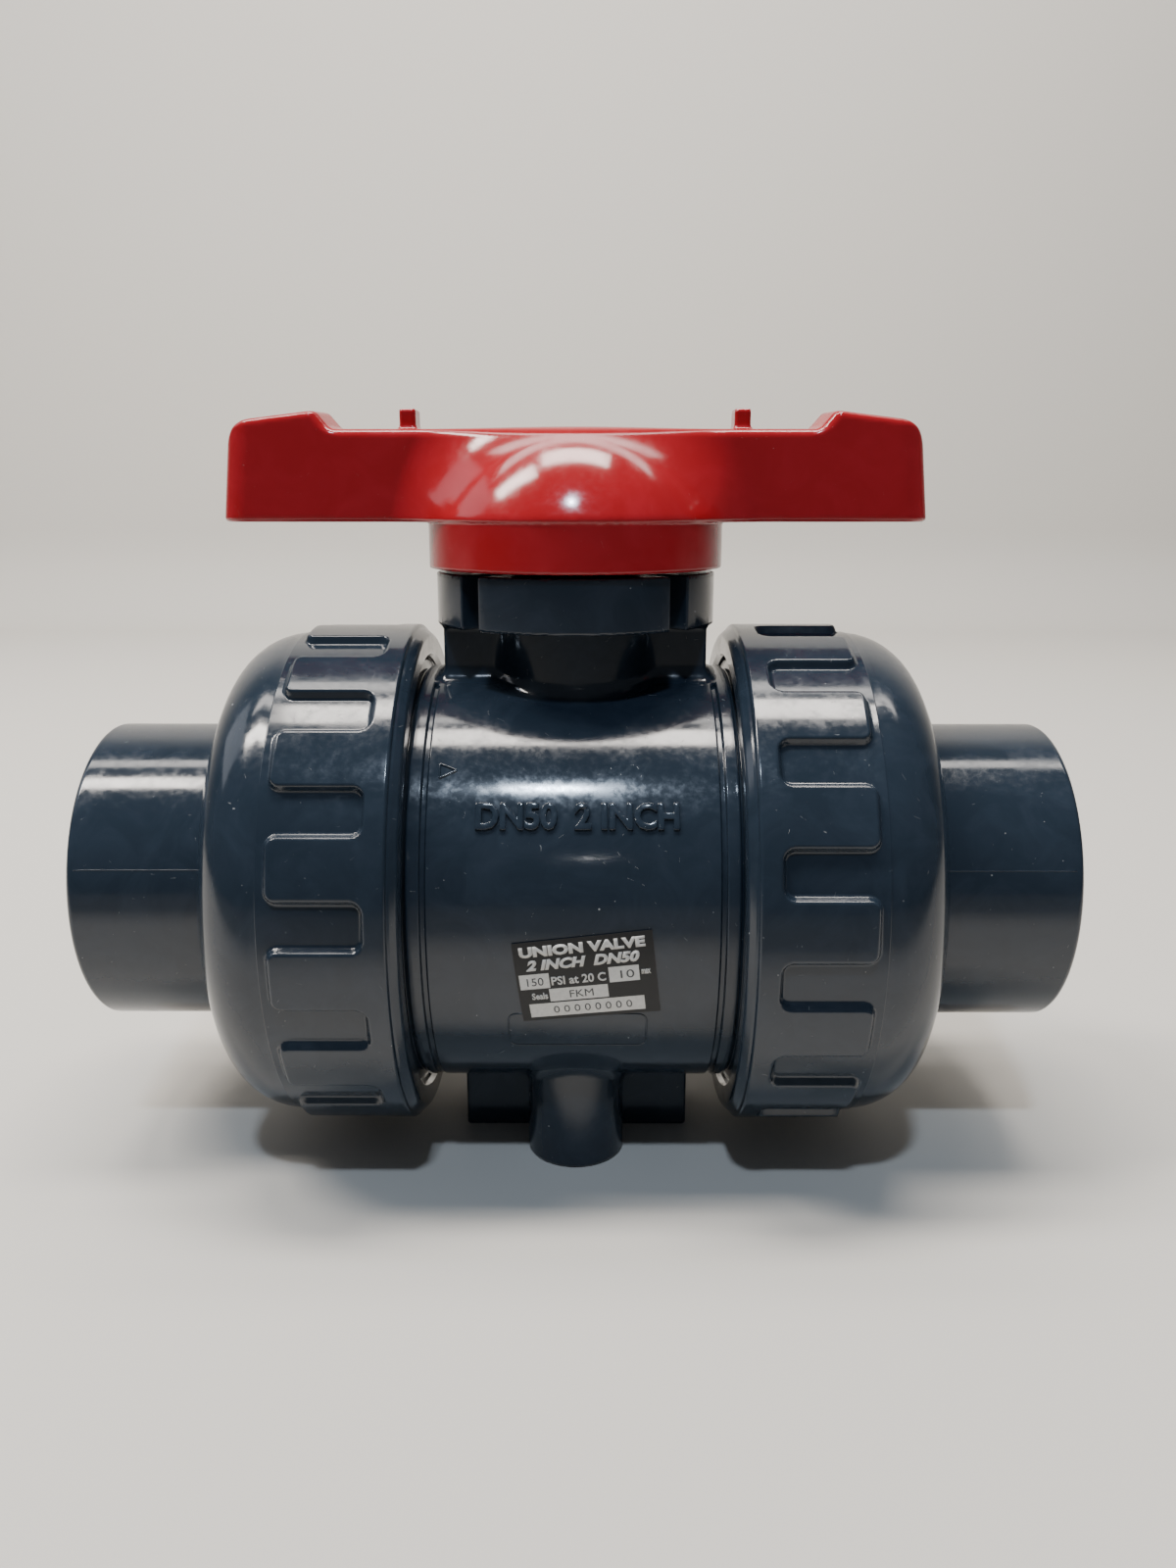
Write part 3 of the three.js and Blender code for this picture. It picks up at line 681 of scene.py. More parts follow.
def nut_outline(pad_start, pad_end, floor, corner):
    """Outline of a union nut's wall from the body-side rim round the dome and back along the bore."""
    rim = low("right_union_nut", "x")
    end = high("right_union_nut", "x")
    reach = high("right_union_nut", "z")
    crease = 66.0
    hole = 37.4
    flange_space = 51.6
    thread_end = 57.0
    corners = [
        (54.6, rim, 0.5), (59.3, rim, 1.6), (60.7, rim + 1.6, 0.3), (61.0, rim + 2.1, 0.2),
        (reach, rim + 2.5, 0.8), (reach, pad_start - corner, 0), (reach, pad_start + corner, 0),
        (reach, pad_end - corner, 0), (reach, pad_end + 1.0, 0), (reach, crease - 0.3, 0),
        (floor - 0.2, crease, 0),
    ]
    end_face = 44.2
    for turn in np.linspace(0, math.pi / 2, 14)[1:]:
        corners.append((end_face + (floor - 0.25 - end_face) * math.cos(turn) ** 0.92,
                        crease + (end - crease) * math.sin(turn) ** 1.05, 0.0))
    corners += [
        (hole + 1.2, end, 0.5), (hole, end - 1.2, 0.4), (hole, 77.0, 0.6), (flange_space, 64.8, 0.8),
        (flange_space, thread_end + 0.2, 0.4), (NUT_THREAD, thread_end, 0.3),
        (NUT_THREAD, rim + 1.2, 0.4),
    ]

    def step(middle):
        """Close points where the pads' walls cross the outline and along the thread."""
        edges = (abs(middle[1] - pad_start) < corner, -corner < middle[1] - pad_end < 1.0)
        if middle[0] > floor + 0.2:
            return 0.42 if any(edges) else 1.8
        return 0.6 if abs(middle[0] - NUT_THREAD) < 0.1 else 2.1

    return spaced(filleted(corners), step)


def pad_angles(pads, half, zone, reach):
    """Angles round a nut, close together at the pads' sides."""
    pitch = 2 * math.pi / pads
    stops = [-pitch / 2, -half - zone, -half + zone, half - zone, half + zone, pitch / 2]
    wide, close = 1.6, 0.48
    steps = [wide, close, wide, close, wide]
    one = []
    for start, end, step in zip(stops, stops[1:], steps):
        parts = math.ceil((end - start) * reach / step)
        one += [start + (end - start) * k / parts for k in range(parts)]
    return np.concatenate([np.array(one) + k * pitch for k in range(pads)])


class VALVE_OT_union_nuts(bpy.types.Operator):
    """The two union nuts with their grip pads, domed shoulders and internal threads"""
    bl_idname = "valve.union_nuts"
    bl_label = "Union nuts"

    def execute(self, context):
        group = context.scene.nut_sizes
        pad_height, pad_start, pad_end, corner, wall = sizes(
            group, "pad_height", "pad_start", "pad_end", "corner", "wall")
        pitch = 2 * math.pi / group.pads
        half = group.pad_width / 2
        reach = high("right_union_nut", "z")
        zone = corner + wall
        thread_depth = 2.4
        outline = nut_outline(pad_start, pad_end, reach - pad_height, zone)
        angles = pad_angles(group.pads, half, zone / reach, reach)

        def make_relief(turn):
            """How far each point of a nut lies inside its outline: recesses between pads, thread."""
            def relief(height, angle, radius):
                around = ((angle - turn + pitch / 2) % pitch - pitch / 2) * reach
                middle = (pad_end + pad_start) / 2 - 5
                pad = np.stack((np.abs(height - middle) - (pad_end - middle),
                                np.abs(around) - half * reach), axis=-1) + corner
                pad = (np.linalg.norm(np.maximum(pad, 0), axis=-1)
                       + np.minimum(pad.max(axis=-1), 0) - corner)
                edge = fillet_join(pad, height - pad_start, corner)
                depth = np.clip(edge / wall + 0.5, 0, 1)
                depth = depth * depth * (3 - 2 * depth)
                outside = (radius > reach - pad_height) & (height > pad_start - corner)
                lowered = np.where(outside, np.minimum(0, reach - pad_height * depth - radius), 0)
                ridge = thread_wave(height + NUT_LEAD / 2, angle, 0.10, 0.16)
                shown = fade(height, 38.2, 56.6, 1.4) * (np.abs(radius - NUT_THREAD) < 0.05)
                return lowered - thread_depth * shown * ridge
            return relief

        for side, turn in (("left", group.left_turn), ("right", math.pi - group.right_turn)):
            piece = turned(f"{side}_nut", outline, angles + turn, side=side, raise_by=make_relief(turn))
            finish(piece, f"{side}_nut", "casing", "moulded_pvc", f"{side}_union_nut")
        return {"FINISHED"}


class VALVE_OT_connectors(bpy.types.Operator):
    """The two end connectors with flange, hub and solvent socket"""
    bl_idname = "valve.connectors"
    bl_label = "End connectors"

    def execute(self, context):
        node = "right_end_connector"
        face, mouth, flange = low(node, "x"), high(node, "x"), high(node, "z")
        socket, stop = 30.3, 77.3
        outline = filleted([
            (BORE, face, 0.5), (flange, face, 0.5), (flange, 64.0, 0.8), (HUB + 1.4, 75.0, 1.5),
            (HUB, 77.5, 2.0), (HUB, mouth, 1.5), (socket + 1.1, mouth, 0.7), (socket, mouth - 2.0, 1.0),
            (socket - 0.3, stop, 0.6), (BORE, stop, 0.5),
        ])
        for side in SIDES:
            piece = turned(f"{side}_connector", spaced(outline, 6.0), 192, side=side)
            finish(piece, f"{side}_connector", "casing", "moulded_pvc", f"{side}_end_connector")
        return {"FINISHED"}


class VALVE_OT_handle(bpy.types.Operator):
    """Tee handle: collar, domed hub, wings with raised grips, spanner tabs and cored underside"""
    bl_idname = "valve.handle"
    bl_label = "Handle"

    def execute(self, context):
        group = context.scene.handle_sizes
        collar, wing, blend, tip, edge = sizes(group, "collar", "wing", "blend", "tip", "edge")
        bottom, crest, reach = low("handle", "z"), high("handle", "z"), high("handle", "x")
        top, wing_bottom, rim = 107.6, 86.7, 0.8
        dome_inset, dome_height, dome_radius = 5.7, 69.6, 45.0
        tip_lean, taper_start, wing_taper, grip_fall = 2.2, 35, 0.012, 0.12
        grip_start, grip_crest = 54.6, 57
        tab_place, tab_half_width, tab_half_depth = 39, 1.9, 4

        def field(p):
            x, y, z = np.abs(p[:, 0]), p[:, 1], p[:, 2]
            around = np.hypot(p[:, 0], y)
            dome = np.hypot(around + dome_inset, z - dome_height) - dome_radius
            hub = round_cut(dome, around - (collar + rim), 0.8)
            lean = (z - wing_bottom) * (tip_lean / (top - wing_bottom))
            slim = (x - taper_start) * wing_taper
            q = np.stack((x - (reach - lean), np.abs(y) - (wing - slim)), axis=1) + tip
            blade = np.linalg.norm(np.maximum(q, 0), axis=1) + np.minimum(q.max(axis=1), 0) - tip
            grip = z - crest + 0.1 + (x - grip_crest) * grip_fall
            slope_in = (grip_start + np.abs(y) * 0.2 - x) * 0.76 + (z - top) * 0.65
            roof = fillet_join(z - top, round_cut(grip, slope_in, 1.2), 1.0)
            upper = round_cut(fillet_join(hub, blade, blend), roof, edge)
            upper = round_cut(upper, round_cut(x - reach + lean, grip, 6.0), 0.8)
            upper = round_cut(upper, wing_bottom - z, 1.1)
            tab = gap_box(np.stack((x, y, z), axis=1), (tab_place, 0, top),
                          (tab_half_width, tab_half_depth, crest - top), 0.5)
            upper = fillet_join(upper, tab, 1.3)
            ring = gap_rod(p, 2, (0, 0), collar, bottom, 88, 0.6)
            shape = fillet_join(upper, ring, 0.3)
            return np.maximum(shape, -self.coring(p, x, around, wing))

        side = collar + 1.5
        handle = net("tee_handle", field, (-reach, -side, bottom), (reach, side, crest + 0.2), 0.68)
        finish(handle, "handle", "grip", "moulded_abs", "handle")
        return {"FINISHED"}

    @staticmethod
    def coring(p, x, around, wing):
        """Hollows under the hub and wings, the stop's run and the square socket for the stem."""
        z = p[:, 2]
        folded = np.stack((x, p[:, 1], z), axis=1)
        drive = high("stem", "z") + 1
        pockets = np.minimum(
            gap_box(folded, (46.75, 0, 90), (9.75, wing - 3, 11.5), 1.2),
            gap_box(folded, (67.75, 0, 90), (8.75, wing - 3, 11.5), 1.2))
        inner, outer, roof = 25.5, 31.8, 91
        annulus = round_cut(np.maximum(around - outer, inner - around),
                            z - roof + (around - inner) * 0.45, 0.8)
        recess_top, gap = 80.2, 0.6
        run_start, run_angle = 79, 112
        crown = np.maximum(around - CROWN - gap, z - recess_top)
        turn = (np.degrees(np.arctan2(p[:, 1], p[:, 0])) - run_start) % 360
        run = np.maximum(np.maximum(around - LUG - gap, z - recess_top),
                         (turn - run_angle) * math.pi / 180 * around)
        socket = gap_box(p, (0, 0, drive / 2), (8.35, 8.35, drive / 2), 0.3)
        return np.minimum.reduce((pockets, annulus, crown, run, socket))


class VALVE_OT_inside(bpy.types.Operator):
    """Ball, stem, seat carrier, seats, seals, thrust washer and base inserts"""
    bl_idname = "valve.inside"
    bl_label = "Inside pieces"

    def execute(self, context):
        self.ball()
        self.stem()
        self.carrier()
        self.seats()
        self.rings()
        self.inserts()
        return {"FINISHED"}

    @staticmethod
    def ball():
        """Bored ball with a slot in its top for the stem's tang."""
        radius = high("ball", "y")
        slot_half, slot_floor = 4.4, 30

        def field(p):
            shape = np.linalg.norm(p, axis=1) - radius
            shape = round_cut(shape, BORE - np.hypot(p[:, 1], p[:, 2]), 0.8)
            slot = np.maximum(np.abs(p[:, 0]) - slot_half, slot_floor - p[:, 2])
            return round_cut(shape, -slot, 0.5)

        piece = net("valve_ball", field, (-radius,) * 3, (radius,) * 3, 1.0)
        finish(piece, "ball", "ball", "polished_pvc", "ball")

    @staticmethod
    def stem():
        """Stem with its tang, flange, two O-ring grooves and square drive."""
        foot, top = low("stem", "z"), high("stem", "z")
        flange = high("stem", "x")
        shaft, groove = 12, 9.6
        outline = filleted([
            (0, 38.5, 0), (flange, 38.5, 0.5), (flange, 43.7, 0.4), (shaft, 43.7, 0.4),
            (shaft, 50.0, 0.2), (groove, 50.0, 0.2), (groove, 53.4, 0.2), (shaft, 53.4, 0.2),
            (shaft, 56.0, 0.2), (groove, 56.0, 0.2), (groove, 59.4, 0.2), (shaft, 59.4, 0.2),
            (shaft, 79.8, 0.5), (0, 79.8, 0),
        ], arc_step=30)
        tang_top, drive_bottom, drive_half = 40, 78, 8

        def field(p):
            shape = gap_outline(np.hypot(p[:, 0], p[:, 1]), p[:, 2], outline)
            tang = gap_box(p, (0, 0, (foot + tang_top) / 2), (4, 10, (tang_top - foot) / 2), 0.4)
            drive = gap_box(p, (0, 0, (drive_bottom + top) / 2),
                            (drive_half, drive_half, (top - drive_bottom) / 2), 0.8)
            return np.minimum(fillet_join(shape, drive, 0.6), tang)

        piece = net("stem_shaft", field, (-flange, -flange, foot), (flange, flange, top), 0.55)
        finish(piece, "stem", "stem", "polished_pvc", "stem")

    @staticmethod
    def carrier():
        """Ring that holds the right-hand seat, with two slots for the handle's tabs."""
        start, end = low("seat_carrier", "x"), high("seat_carrier", "x")
        radius = high("seat_carrier", "y")
        groove, groove_start, groove_end = 41.6, 27.2, 31.0
        outline = filleted([
            (SEAT_POCKET, start, 0.5), (radius, start, 0.6), (radius, groove_start, 0.2),
            (groove, groove_start, 0.3), (groove, groove_end, 0.3), (radius, groove_end, 0.2),
            (radius, end, 0.6), (BORE, end, 1.0), (BORE, BORE_EDGE, 0.3),
            (CUSHION_INNER, BORE_EDGE, 0.2), (CUSHION_INNER, CUSHION_FLOOR, 0.2),
            (CUSHION_OUTER, CUSHION_FLOOR, 0.2), (CUSHION_OUTER, SEAT_STOP, 0.2),
            (SEAT_POCKET, SEAT_STOP, 0.3),
        ], arc_step=30)

        def field(p):
            shape = gap_outline(np.hypot(p[:, 1], p[:, 2]), p[:, 0], outline)
            upright = np.stack((p[:, 0], p[:, 1], np.abs(p[:, 2])), axis=1)
            slots = gap_box(upright, (end, 0, 39), (5.2, 4.5, 2.3), 0.6)
            return round_cut(shape, -slots, 0.3)

        piece = net("carrier_ring", field, (start, -radius, -radius), (end, radius, radius), 0.9)
        finish(piece, "valve_body", "casing", "moulded_pvc", "seat_carrier")

    @staticmethod
    def seats():
        """Two seats with a face that follows the ball, and the washer above the stem's flange."""
        face = high("ball", "y") + 0.3
        outer, front, back = 36.0, 21.0, 30.0
        start, stop = math.asin(BORE / face), math.acos(front / face)
        curve = [(face * math.sin(a), face * math.cos(a), 0.0) for a in np.linspace(start, stop, 14)]
        corners = [*curve, (outer, front, 0.4), (outer, back, 0.4), (BORE, back, 0.4)]
        outline = spaced(filleted(corners), 1.5)
        for side in SIDES:
            piece = turned(f"{side}_seat_ring", outline, 160, side=side)
            finish(piece, "valve_body", "ptfe", "turned_ptfe", f"{side}_seat")
        washer = filleted([
            (12.4, 44.0, 0.25), (15.2, 44.0, 0.25), (15.2, 45.7, 0.25), (12.4, 45.7, 0.25)])
        piece = turned("thrust_washer", spaced(washer, 1.5), 96, axis="z")
        finish(piece, "stem", "ptfe", "turned_ptfe", "stem_thrust_washer")

    @staticmethod
    def rings():
        """Every O-ring is a round cord bent into a circle; its CAD box gives the circle and the cord."""
        cord_ring = VALVE_OT_inside.cord_ring
        along_pipe = [
            ("left_face_o_ring", "left"), ("right_face_o_ring", "right"), ("left_seat_cushion", "left"),
            ("right_seat_cushion", "right"), ("carrier_o_ring", "right"),
        ]
        for node, side in along_pipe:
            cord_ring(node, side, "x", "z", "valve_body")
        for node in ("stem_o_ring_lower", "stem_o_ring_upper"):
            cord_ring(node, "right", "z", "y", "stem")

    @staticmethod
    def cord_ring(node, side, axis, across, body):
        """One ring about an axis. The CAD's cord is a hexagon, which is sqrt(3) of its radius thick."""
        section = (high(node, axis) - low(node, axis)) / math.sqrt(3)
        radius = high(node, across) - section
        place = (high(node, axis) + low(node, axis)) / 2
        if side == "left":
            place = -place
        turn = np.linspace(0, 2 * math.pi, 24, endpoint=False)
        outline = np.stack((radius + section * np.cos(turn), place + section * np.sin(turn)), axis=1)
        piece = turned(f"{node}_cord", outline, 160, side=side, axis=axis)
        finish(piece, body, "seal", "moulded_fkm", node)

    @staticmethod
    def inserts():
        """Knurled M8 inserts with a moulded-in thread of 1.25 mm lead."""
        for place, side in (("front", -1), ("rear", 1)):
            node = f"{place}_base_insert"
            bottom, top, outer = low(node, "z"), high(node, "z"), high(node, "x")
            inner, lead, thread_depth = 3.6, 1.25, 0.4
            corners = [(inner, bottom, 0.6), (outer, bottom, 0.4), (outer, top, 0.4), (inner, top, 0.4)]
            outline = spaced(filleted(corners), 0.3)

            def relief(height, angle, radius):
                cycle = (height / lead - angle / (2 * math.pi)) % 1.0
                shown = fade(height, bottom + 0.6, top - 0.5, 0.6)
                groove = np.clip(1 - np.abs(cycle - 0.5) / 0.4, 0, 1) * thread_depth * shown
                knurl = 0.15 * np.abs(np.sin(angle * 18)) * fade(height, bottom + 2, top - 1, 0.5)
                inside = radius < inner + 0.1
                return np.where(inside, groove, np.where(radius > outer - 0.05, -knurl, 0))

            piece = turned(f"{place}_insert", outline, 108, axis="z", raise_by=relief)
            boss_y = side * bpy.context.scene.casing_sizes.boss_y
            piece.data.transform(Matrix.Translation((0, boss_y, 0)))
            finish(piece, "valve_body", "insert", "turned_brass", node)


def on_barrel(points, radius):
    """Bends flat points (along the pipe, up round the barrel, height off it) round the barrel's front."""
    angle = points[:, 1] / radius
    reach = radius + points[:, 2]
    return np.stack((points[:, 0], -reach * np.cos(angle), reach * np.sin(angle)), axis=1)


def bead(name, path, width, height, radius, closed=False):
    """A thin raised line with a round top that follows a flat path round the barrel or a hub."""
    path = np.array(path, float)
    ahead = np.roll(path, -1, axis=0) - path
    behind = path - np.roll(path, 1, axis=0)
    if not closed:
        ahead[-1], behind[0] = behind[-1], ahead[0]
    across = unit(unit(ahead) + unit(behind))[:, ::-1] * (-1, 1)
    profile = [(math.cos(a) * width / 2, math.sin(a) * height) for a in np.linspace(0, math.pi, 7)]
    profile = [(width / 2, -0.3), *profile, (-width / 2, -0.3)]
    points = np.array([
        (*(spot + side * off), up) for spot, side in zip(path, across) for off, up in profile])
    size = len(profile)
    last = len(path) if closed else len(path) - 1
    faces = []
    for i in range(last):
        here, there = i * size, (i + 1) % len(path) * size
        for k in range(size):
            after = (k + 1) % size
            faces.append((here + k, here + after, there + after, there + k))
    if not closed:
        faces.append(tuple(range(size))[::-1])
        faces.append(tuple((len(path) - 1) * size + k for k in range(size)))
    return skin(name, on_barrel(points, radius), faces)


def walk(corners, step=0.8, radius=0.0, closed=False):
    """A flat path through corners, rounded if closed, with close steps so that it can bend."""
    if closed:
        return spaced(filleted([(*corner, radius) for corner in corners], arc_step=25), step)
    points = []
    for start, end in zip(np.array(corners, float)[:-1], np.array(corners, float)[1:]):
        parts = max(1, math.ceil(np.linalg.norm(end - start) / step))
        points += [start + (end - start) * k / parts for k in range(parts)]
    return np.array([*points, np.array(corners[-1], float)])


class VALVE_OT_markings(bpy.types.Operator):
    """Raised size mark, flow arrow, blank data frame and mould parting lines"""
    bl_idname = "valve.markings"
    bl_label = "Moulded marks"

    def execute(self, context):
        radius = context.scene.casing_sizes.barrel / MM
        up = math.radians(1) * radius
        self.size_mark(radius)
        arrow_corners = [(-25.5, 41.4 * up), (-29.3, 39.3 * up), (-29.3, 43.2 * up)]
        arrow = walk(arrow_corners, 0.5, 0.15, closed=True)
        frame_corners = [(-14.6, -34 * up), (-14.6, -21.5 * up), (16.2, -21.5 * up), (16.2, -34 * up)]
        border = walk(frame_corners, 0.6, 2.0, closed=True)
        pieces = [
            bead("flow_arrow", arrow, 0.5, 0.3, radius, closed=True),
            bead("data_frame", border, 0.4, 0.18, radius, closed=True),
        ]
        for piece in pieces:
            finish(piece, "valve_body", "casing", "moulded_pvc")
        for side, sign in (("left", -1), ("right", 1)):
            line = walk([(sign * 83.5, 0.28 * HUB), (sign * 113.6, 0.28 * HUB)], 2.0)
            piece = bead(f"{side}_parting_line", line, 0.3, 0.05, HUB)
            finish(piece, f"{side}_connector", "casing", "moulded_pvc")
        return {"FINISHED"}

    @staticmethod
    def size_mark(radius):
        """Nominal size in raised letters across the upper front of the barrel."""
        points, faces = letters("DN50  2 INCH", 44.0, 6.2, 0.42, 0.75, bevel=0.2)
        points += (0.9, math.radians(29.5) * radius, -0.1)
        piece = skin("size_mark", on_barrel(points, radius), faces)
        finish(piece, "valve_body", "casing", "moulded_pvc")


def letters(words, width, height, weight, thick, slant=0.0, bevel=0.0):
    """Flat raised letters of a given width and height round the origin, cut so that they can bend."""
    curve = bpy.data.curves.new("letters", "FONT")
    curve.body = words
    curve.size = 10.0
    curve.offset = weight * 7.0 / height
    curve.shear = slant
    curve.extrude = 1.0
    curve.resolution_u = 3
    text = bpy.data.objects.new("letters", curve)
    bpy.context.collection.objects.link(text)
    bpy.context.view_layer.update()
    flat = bpy.data.meshes.new_from_object(text)
    bpy.data.objects.remove(text)
    shape = bmesh.new()
    shape.from_mesh(flat)
    bmesh.ops.remove_doubles(shape, verts=shape.verts, dist=1e-4)
    lower = np.array([v.co for v in shape.verts]).min(axis=0)
    upper = np.array([v.co for v in shape.verts]).max(axis=0)
    stretch = np.array((width, height, thick)) / (upper - lower)
    for vert in shape.verts:
        vert.co = Vector((np.array(vert.co) - (lower + upper) / 2) * stretch + (0, 0, thick / 2))
    if bevel:
        edges = [edge for edge in shape.edges
                 if all(vert.co.z > thick * 0.9 for vert in edge.verts) and edge.calc_face_angle(0) > 1]
        bmesh.ops.bevel(shape, geom=edges, offset=bevel, segments=2, affect="EDGES", profile=0.5)
    strip = 0.9
    for level in np.arange(-height / 2 + strip, height / 2, strip):
        bmesh.ops.bisect_plane(shape, geom=shape.verts[:] + shape.edges[:] + shape.faces[:],
                               plane_co=(0, level, 0), plane_no=(0, 1, 0))
    points = np.array([vert.co for vert in shape.verts])
    faces = [[vert.index for vert in face.verts] for face in shape.faces]
    shape.free()
    return points, faces


class VALVE_OT_label(bpy.types.Operator):
    """Rating label of printed film, stuck on askew, with headings and typed white fields"""
    bl_idname = "valve.label"
    bl_label = "Label"

    def execute(self, context):
        group = context.scene.label_sizes
        width, height, x = sizes(group, "width", "height", "x")
        radius = -low("rating_label", "y") - 0.35
        blocks = self.FIELDS
        columns = self.marks(-width / 2, width / 2, [edge for block in blocks for edge in block[:2]])
        rows = self.marks(-height / 2, height / 2, [edge for block in blocks for edge in block[2:]])
        flat, faces, slots = [], [], []
        for level in (-0.12, 0.2):
            flat += [(a, b, level) for b in rows for a in columns]
        across, up = len(columns), len(rows)
        half = across * up
        for j in range(up - 1):
            for i in range(across - 1):
                a = j * across + i
                middle = ((columns[i] + columns[i + 1]) / 2, (rows[j] + rows[j + 1]) / 2)
                white = any(left < middle[0] < right and bottom < middle[1] < top
                            for left, right, bottom, top in blocks)
                faces.append((half + a, half + a + 1, half + a + across + 1, half + a + across))
                slots.append(int(white))
                faces.append((a, a + across, a + across + 1, a + 1))
                slots.append(0)
        rim = ([j * across for j in range(up - 1, 0, -1)] + list(range(across - 1))
               + [across - 1 + j * across for j in range(up - 1)]
               + [(up - 1) * across + i for i in range(across - 1, 0, -1)])
        for a, b in zip(rim, rim[1:] + rim[:1]):
            faces.append((a, b, half + b, half + a))
            slots.append(0)
        cosine, sine = math.cos(group.tilt), math.sin(group.tilt)

        def stick(flat):
            """Turns flat points by the label's tilt, moves them to its place and bends them on."""
            across = flat[:, 0] * cosine - flat[:, 1] * sine + x
            upward = flat[:, 0] * sine + flat[:, 1] * cosine + group.angle * radius
            return on_barrel(np.stack((across, upward, flat[:, 2]), axis=1), radius)

        piece = skin("rating_label_film", stick(np.array(flat)), faces)
        finish(piece, "valve_body", "label", "printed_film", "rating_label")
        piece.data.materials.append(material("white_ink"))
        piece.data.polygons.foreach_set("material_index", slots)
        piece.data.set_sharp_from_angle(angle=math.radians(30))
        inks = (("label_print", "white_ink", self.PRINT), ("label_typing", "typed_ink", self.TYPING))
        for name, ink, texts in inks:
            points, faces = np.empty((0, 3)), []
            for words, left, right, bottom, top, weight, slant in texts:
                place = ((left + right) / 2, (bottom + top) / 2, 0.19)
                more, ends = letters(words, right - left, top - bottom, weight, 0.03, slant)
                faces += [[k + len(points) for k in face] for face in ends]
                points = np.concatenate((points, more + place))
            finish(skin(name, stick(points), faces), "valve_body", "label", ink)
        return {"FINISHED"}

    # Left, right, bottom and top of each white field, in millimetres from the label's middle.
    FIELDS = [
        (-14.6, -8.1, -1.2, 2.6), (4.9, 11.5, -1.2, 2.6), (-8.5, 4.35, -4.9, -1.5),
        (-13.3, 12.0, -9.2, -5.3),
    ]
    # Words, left, right, bottom, top, stroke weight and slant.
    PRINT = [
        ("UNION VALVE", -13.9, 13.45, 6.7, 9.2, 0.20, 0.0),
        ("2 INCH  DN50", -12.8, 12.0, 3.4, 6.0, 0.20, 0.25),
        ("PSI at 20 C", -7.7, 4.2, -0.6, 1.6, 0.08, 0.0), ("max", 12.0, 14.0, 0.2, 1.4, 0.06, 0.0),
        ("Seals", -12.4, -8.9, -4.1, -2.3, 0.08, 0.0),
    ]
    TYPING = [
        ("150", -13.0, -9.4, -0.4, 1.6, 0.0, 0.0), ("10", 7.4, 10.4, -0.4, 1.6, 0.0, 0.0),
        ("FKM", -4.1, 1.1, -4.2, -2.3, 0.0, 0.0), ("0 0 0 0 0 0 0 0", -8.1, 9.2, -8.3, -6.3, 0.0, 0.0),
    ]

    @staticmethod
    def marks(start, end, wanted):
        """Sorted grid lines at the ends, at the wanted places and at most 1.5 mm apart."""
        lines = sorted({start, end, *(round(v, 4) for v in wanted)})
        result = []
        for a, b in zip(lines, lines[1:]):
            parts = max(1, math.ceil((b - a) / 1.5))
            result += [a + (b - a) * k / parts for k in range(parts)]
        return [*result, lines[-1]]


def area_light(name, place, width, depth, power, colour="#ffffff", target=(0.0, 0.0, 0.08)):
    """A soft rectangular lamp that faces a target, or straight down if the target is None."""
    lamp = bpy.data.lights.new(name, "AREA")
    lamp.shape = "RECTANGLE"
    lamp.size, lamp.size_y, lamp.energy = width, depth, power
    lamp.color = linear(colour)[:3]
    holder = bpy.data.objects.new(name, lamp)
    holder.location = place
    if target:
        holder.rotation_euler = (Vector(target) - Vector(place)).to_track_quat("-Z", "Y").to_euler()
    bpy.context.collection.objects.link(holder)


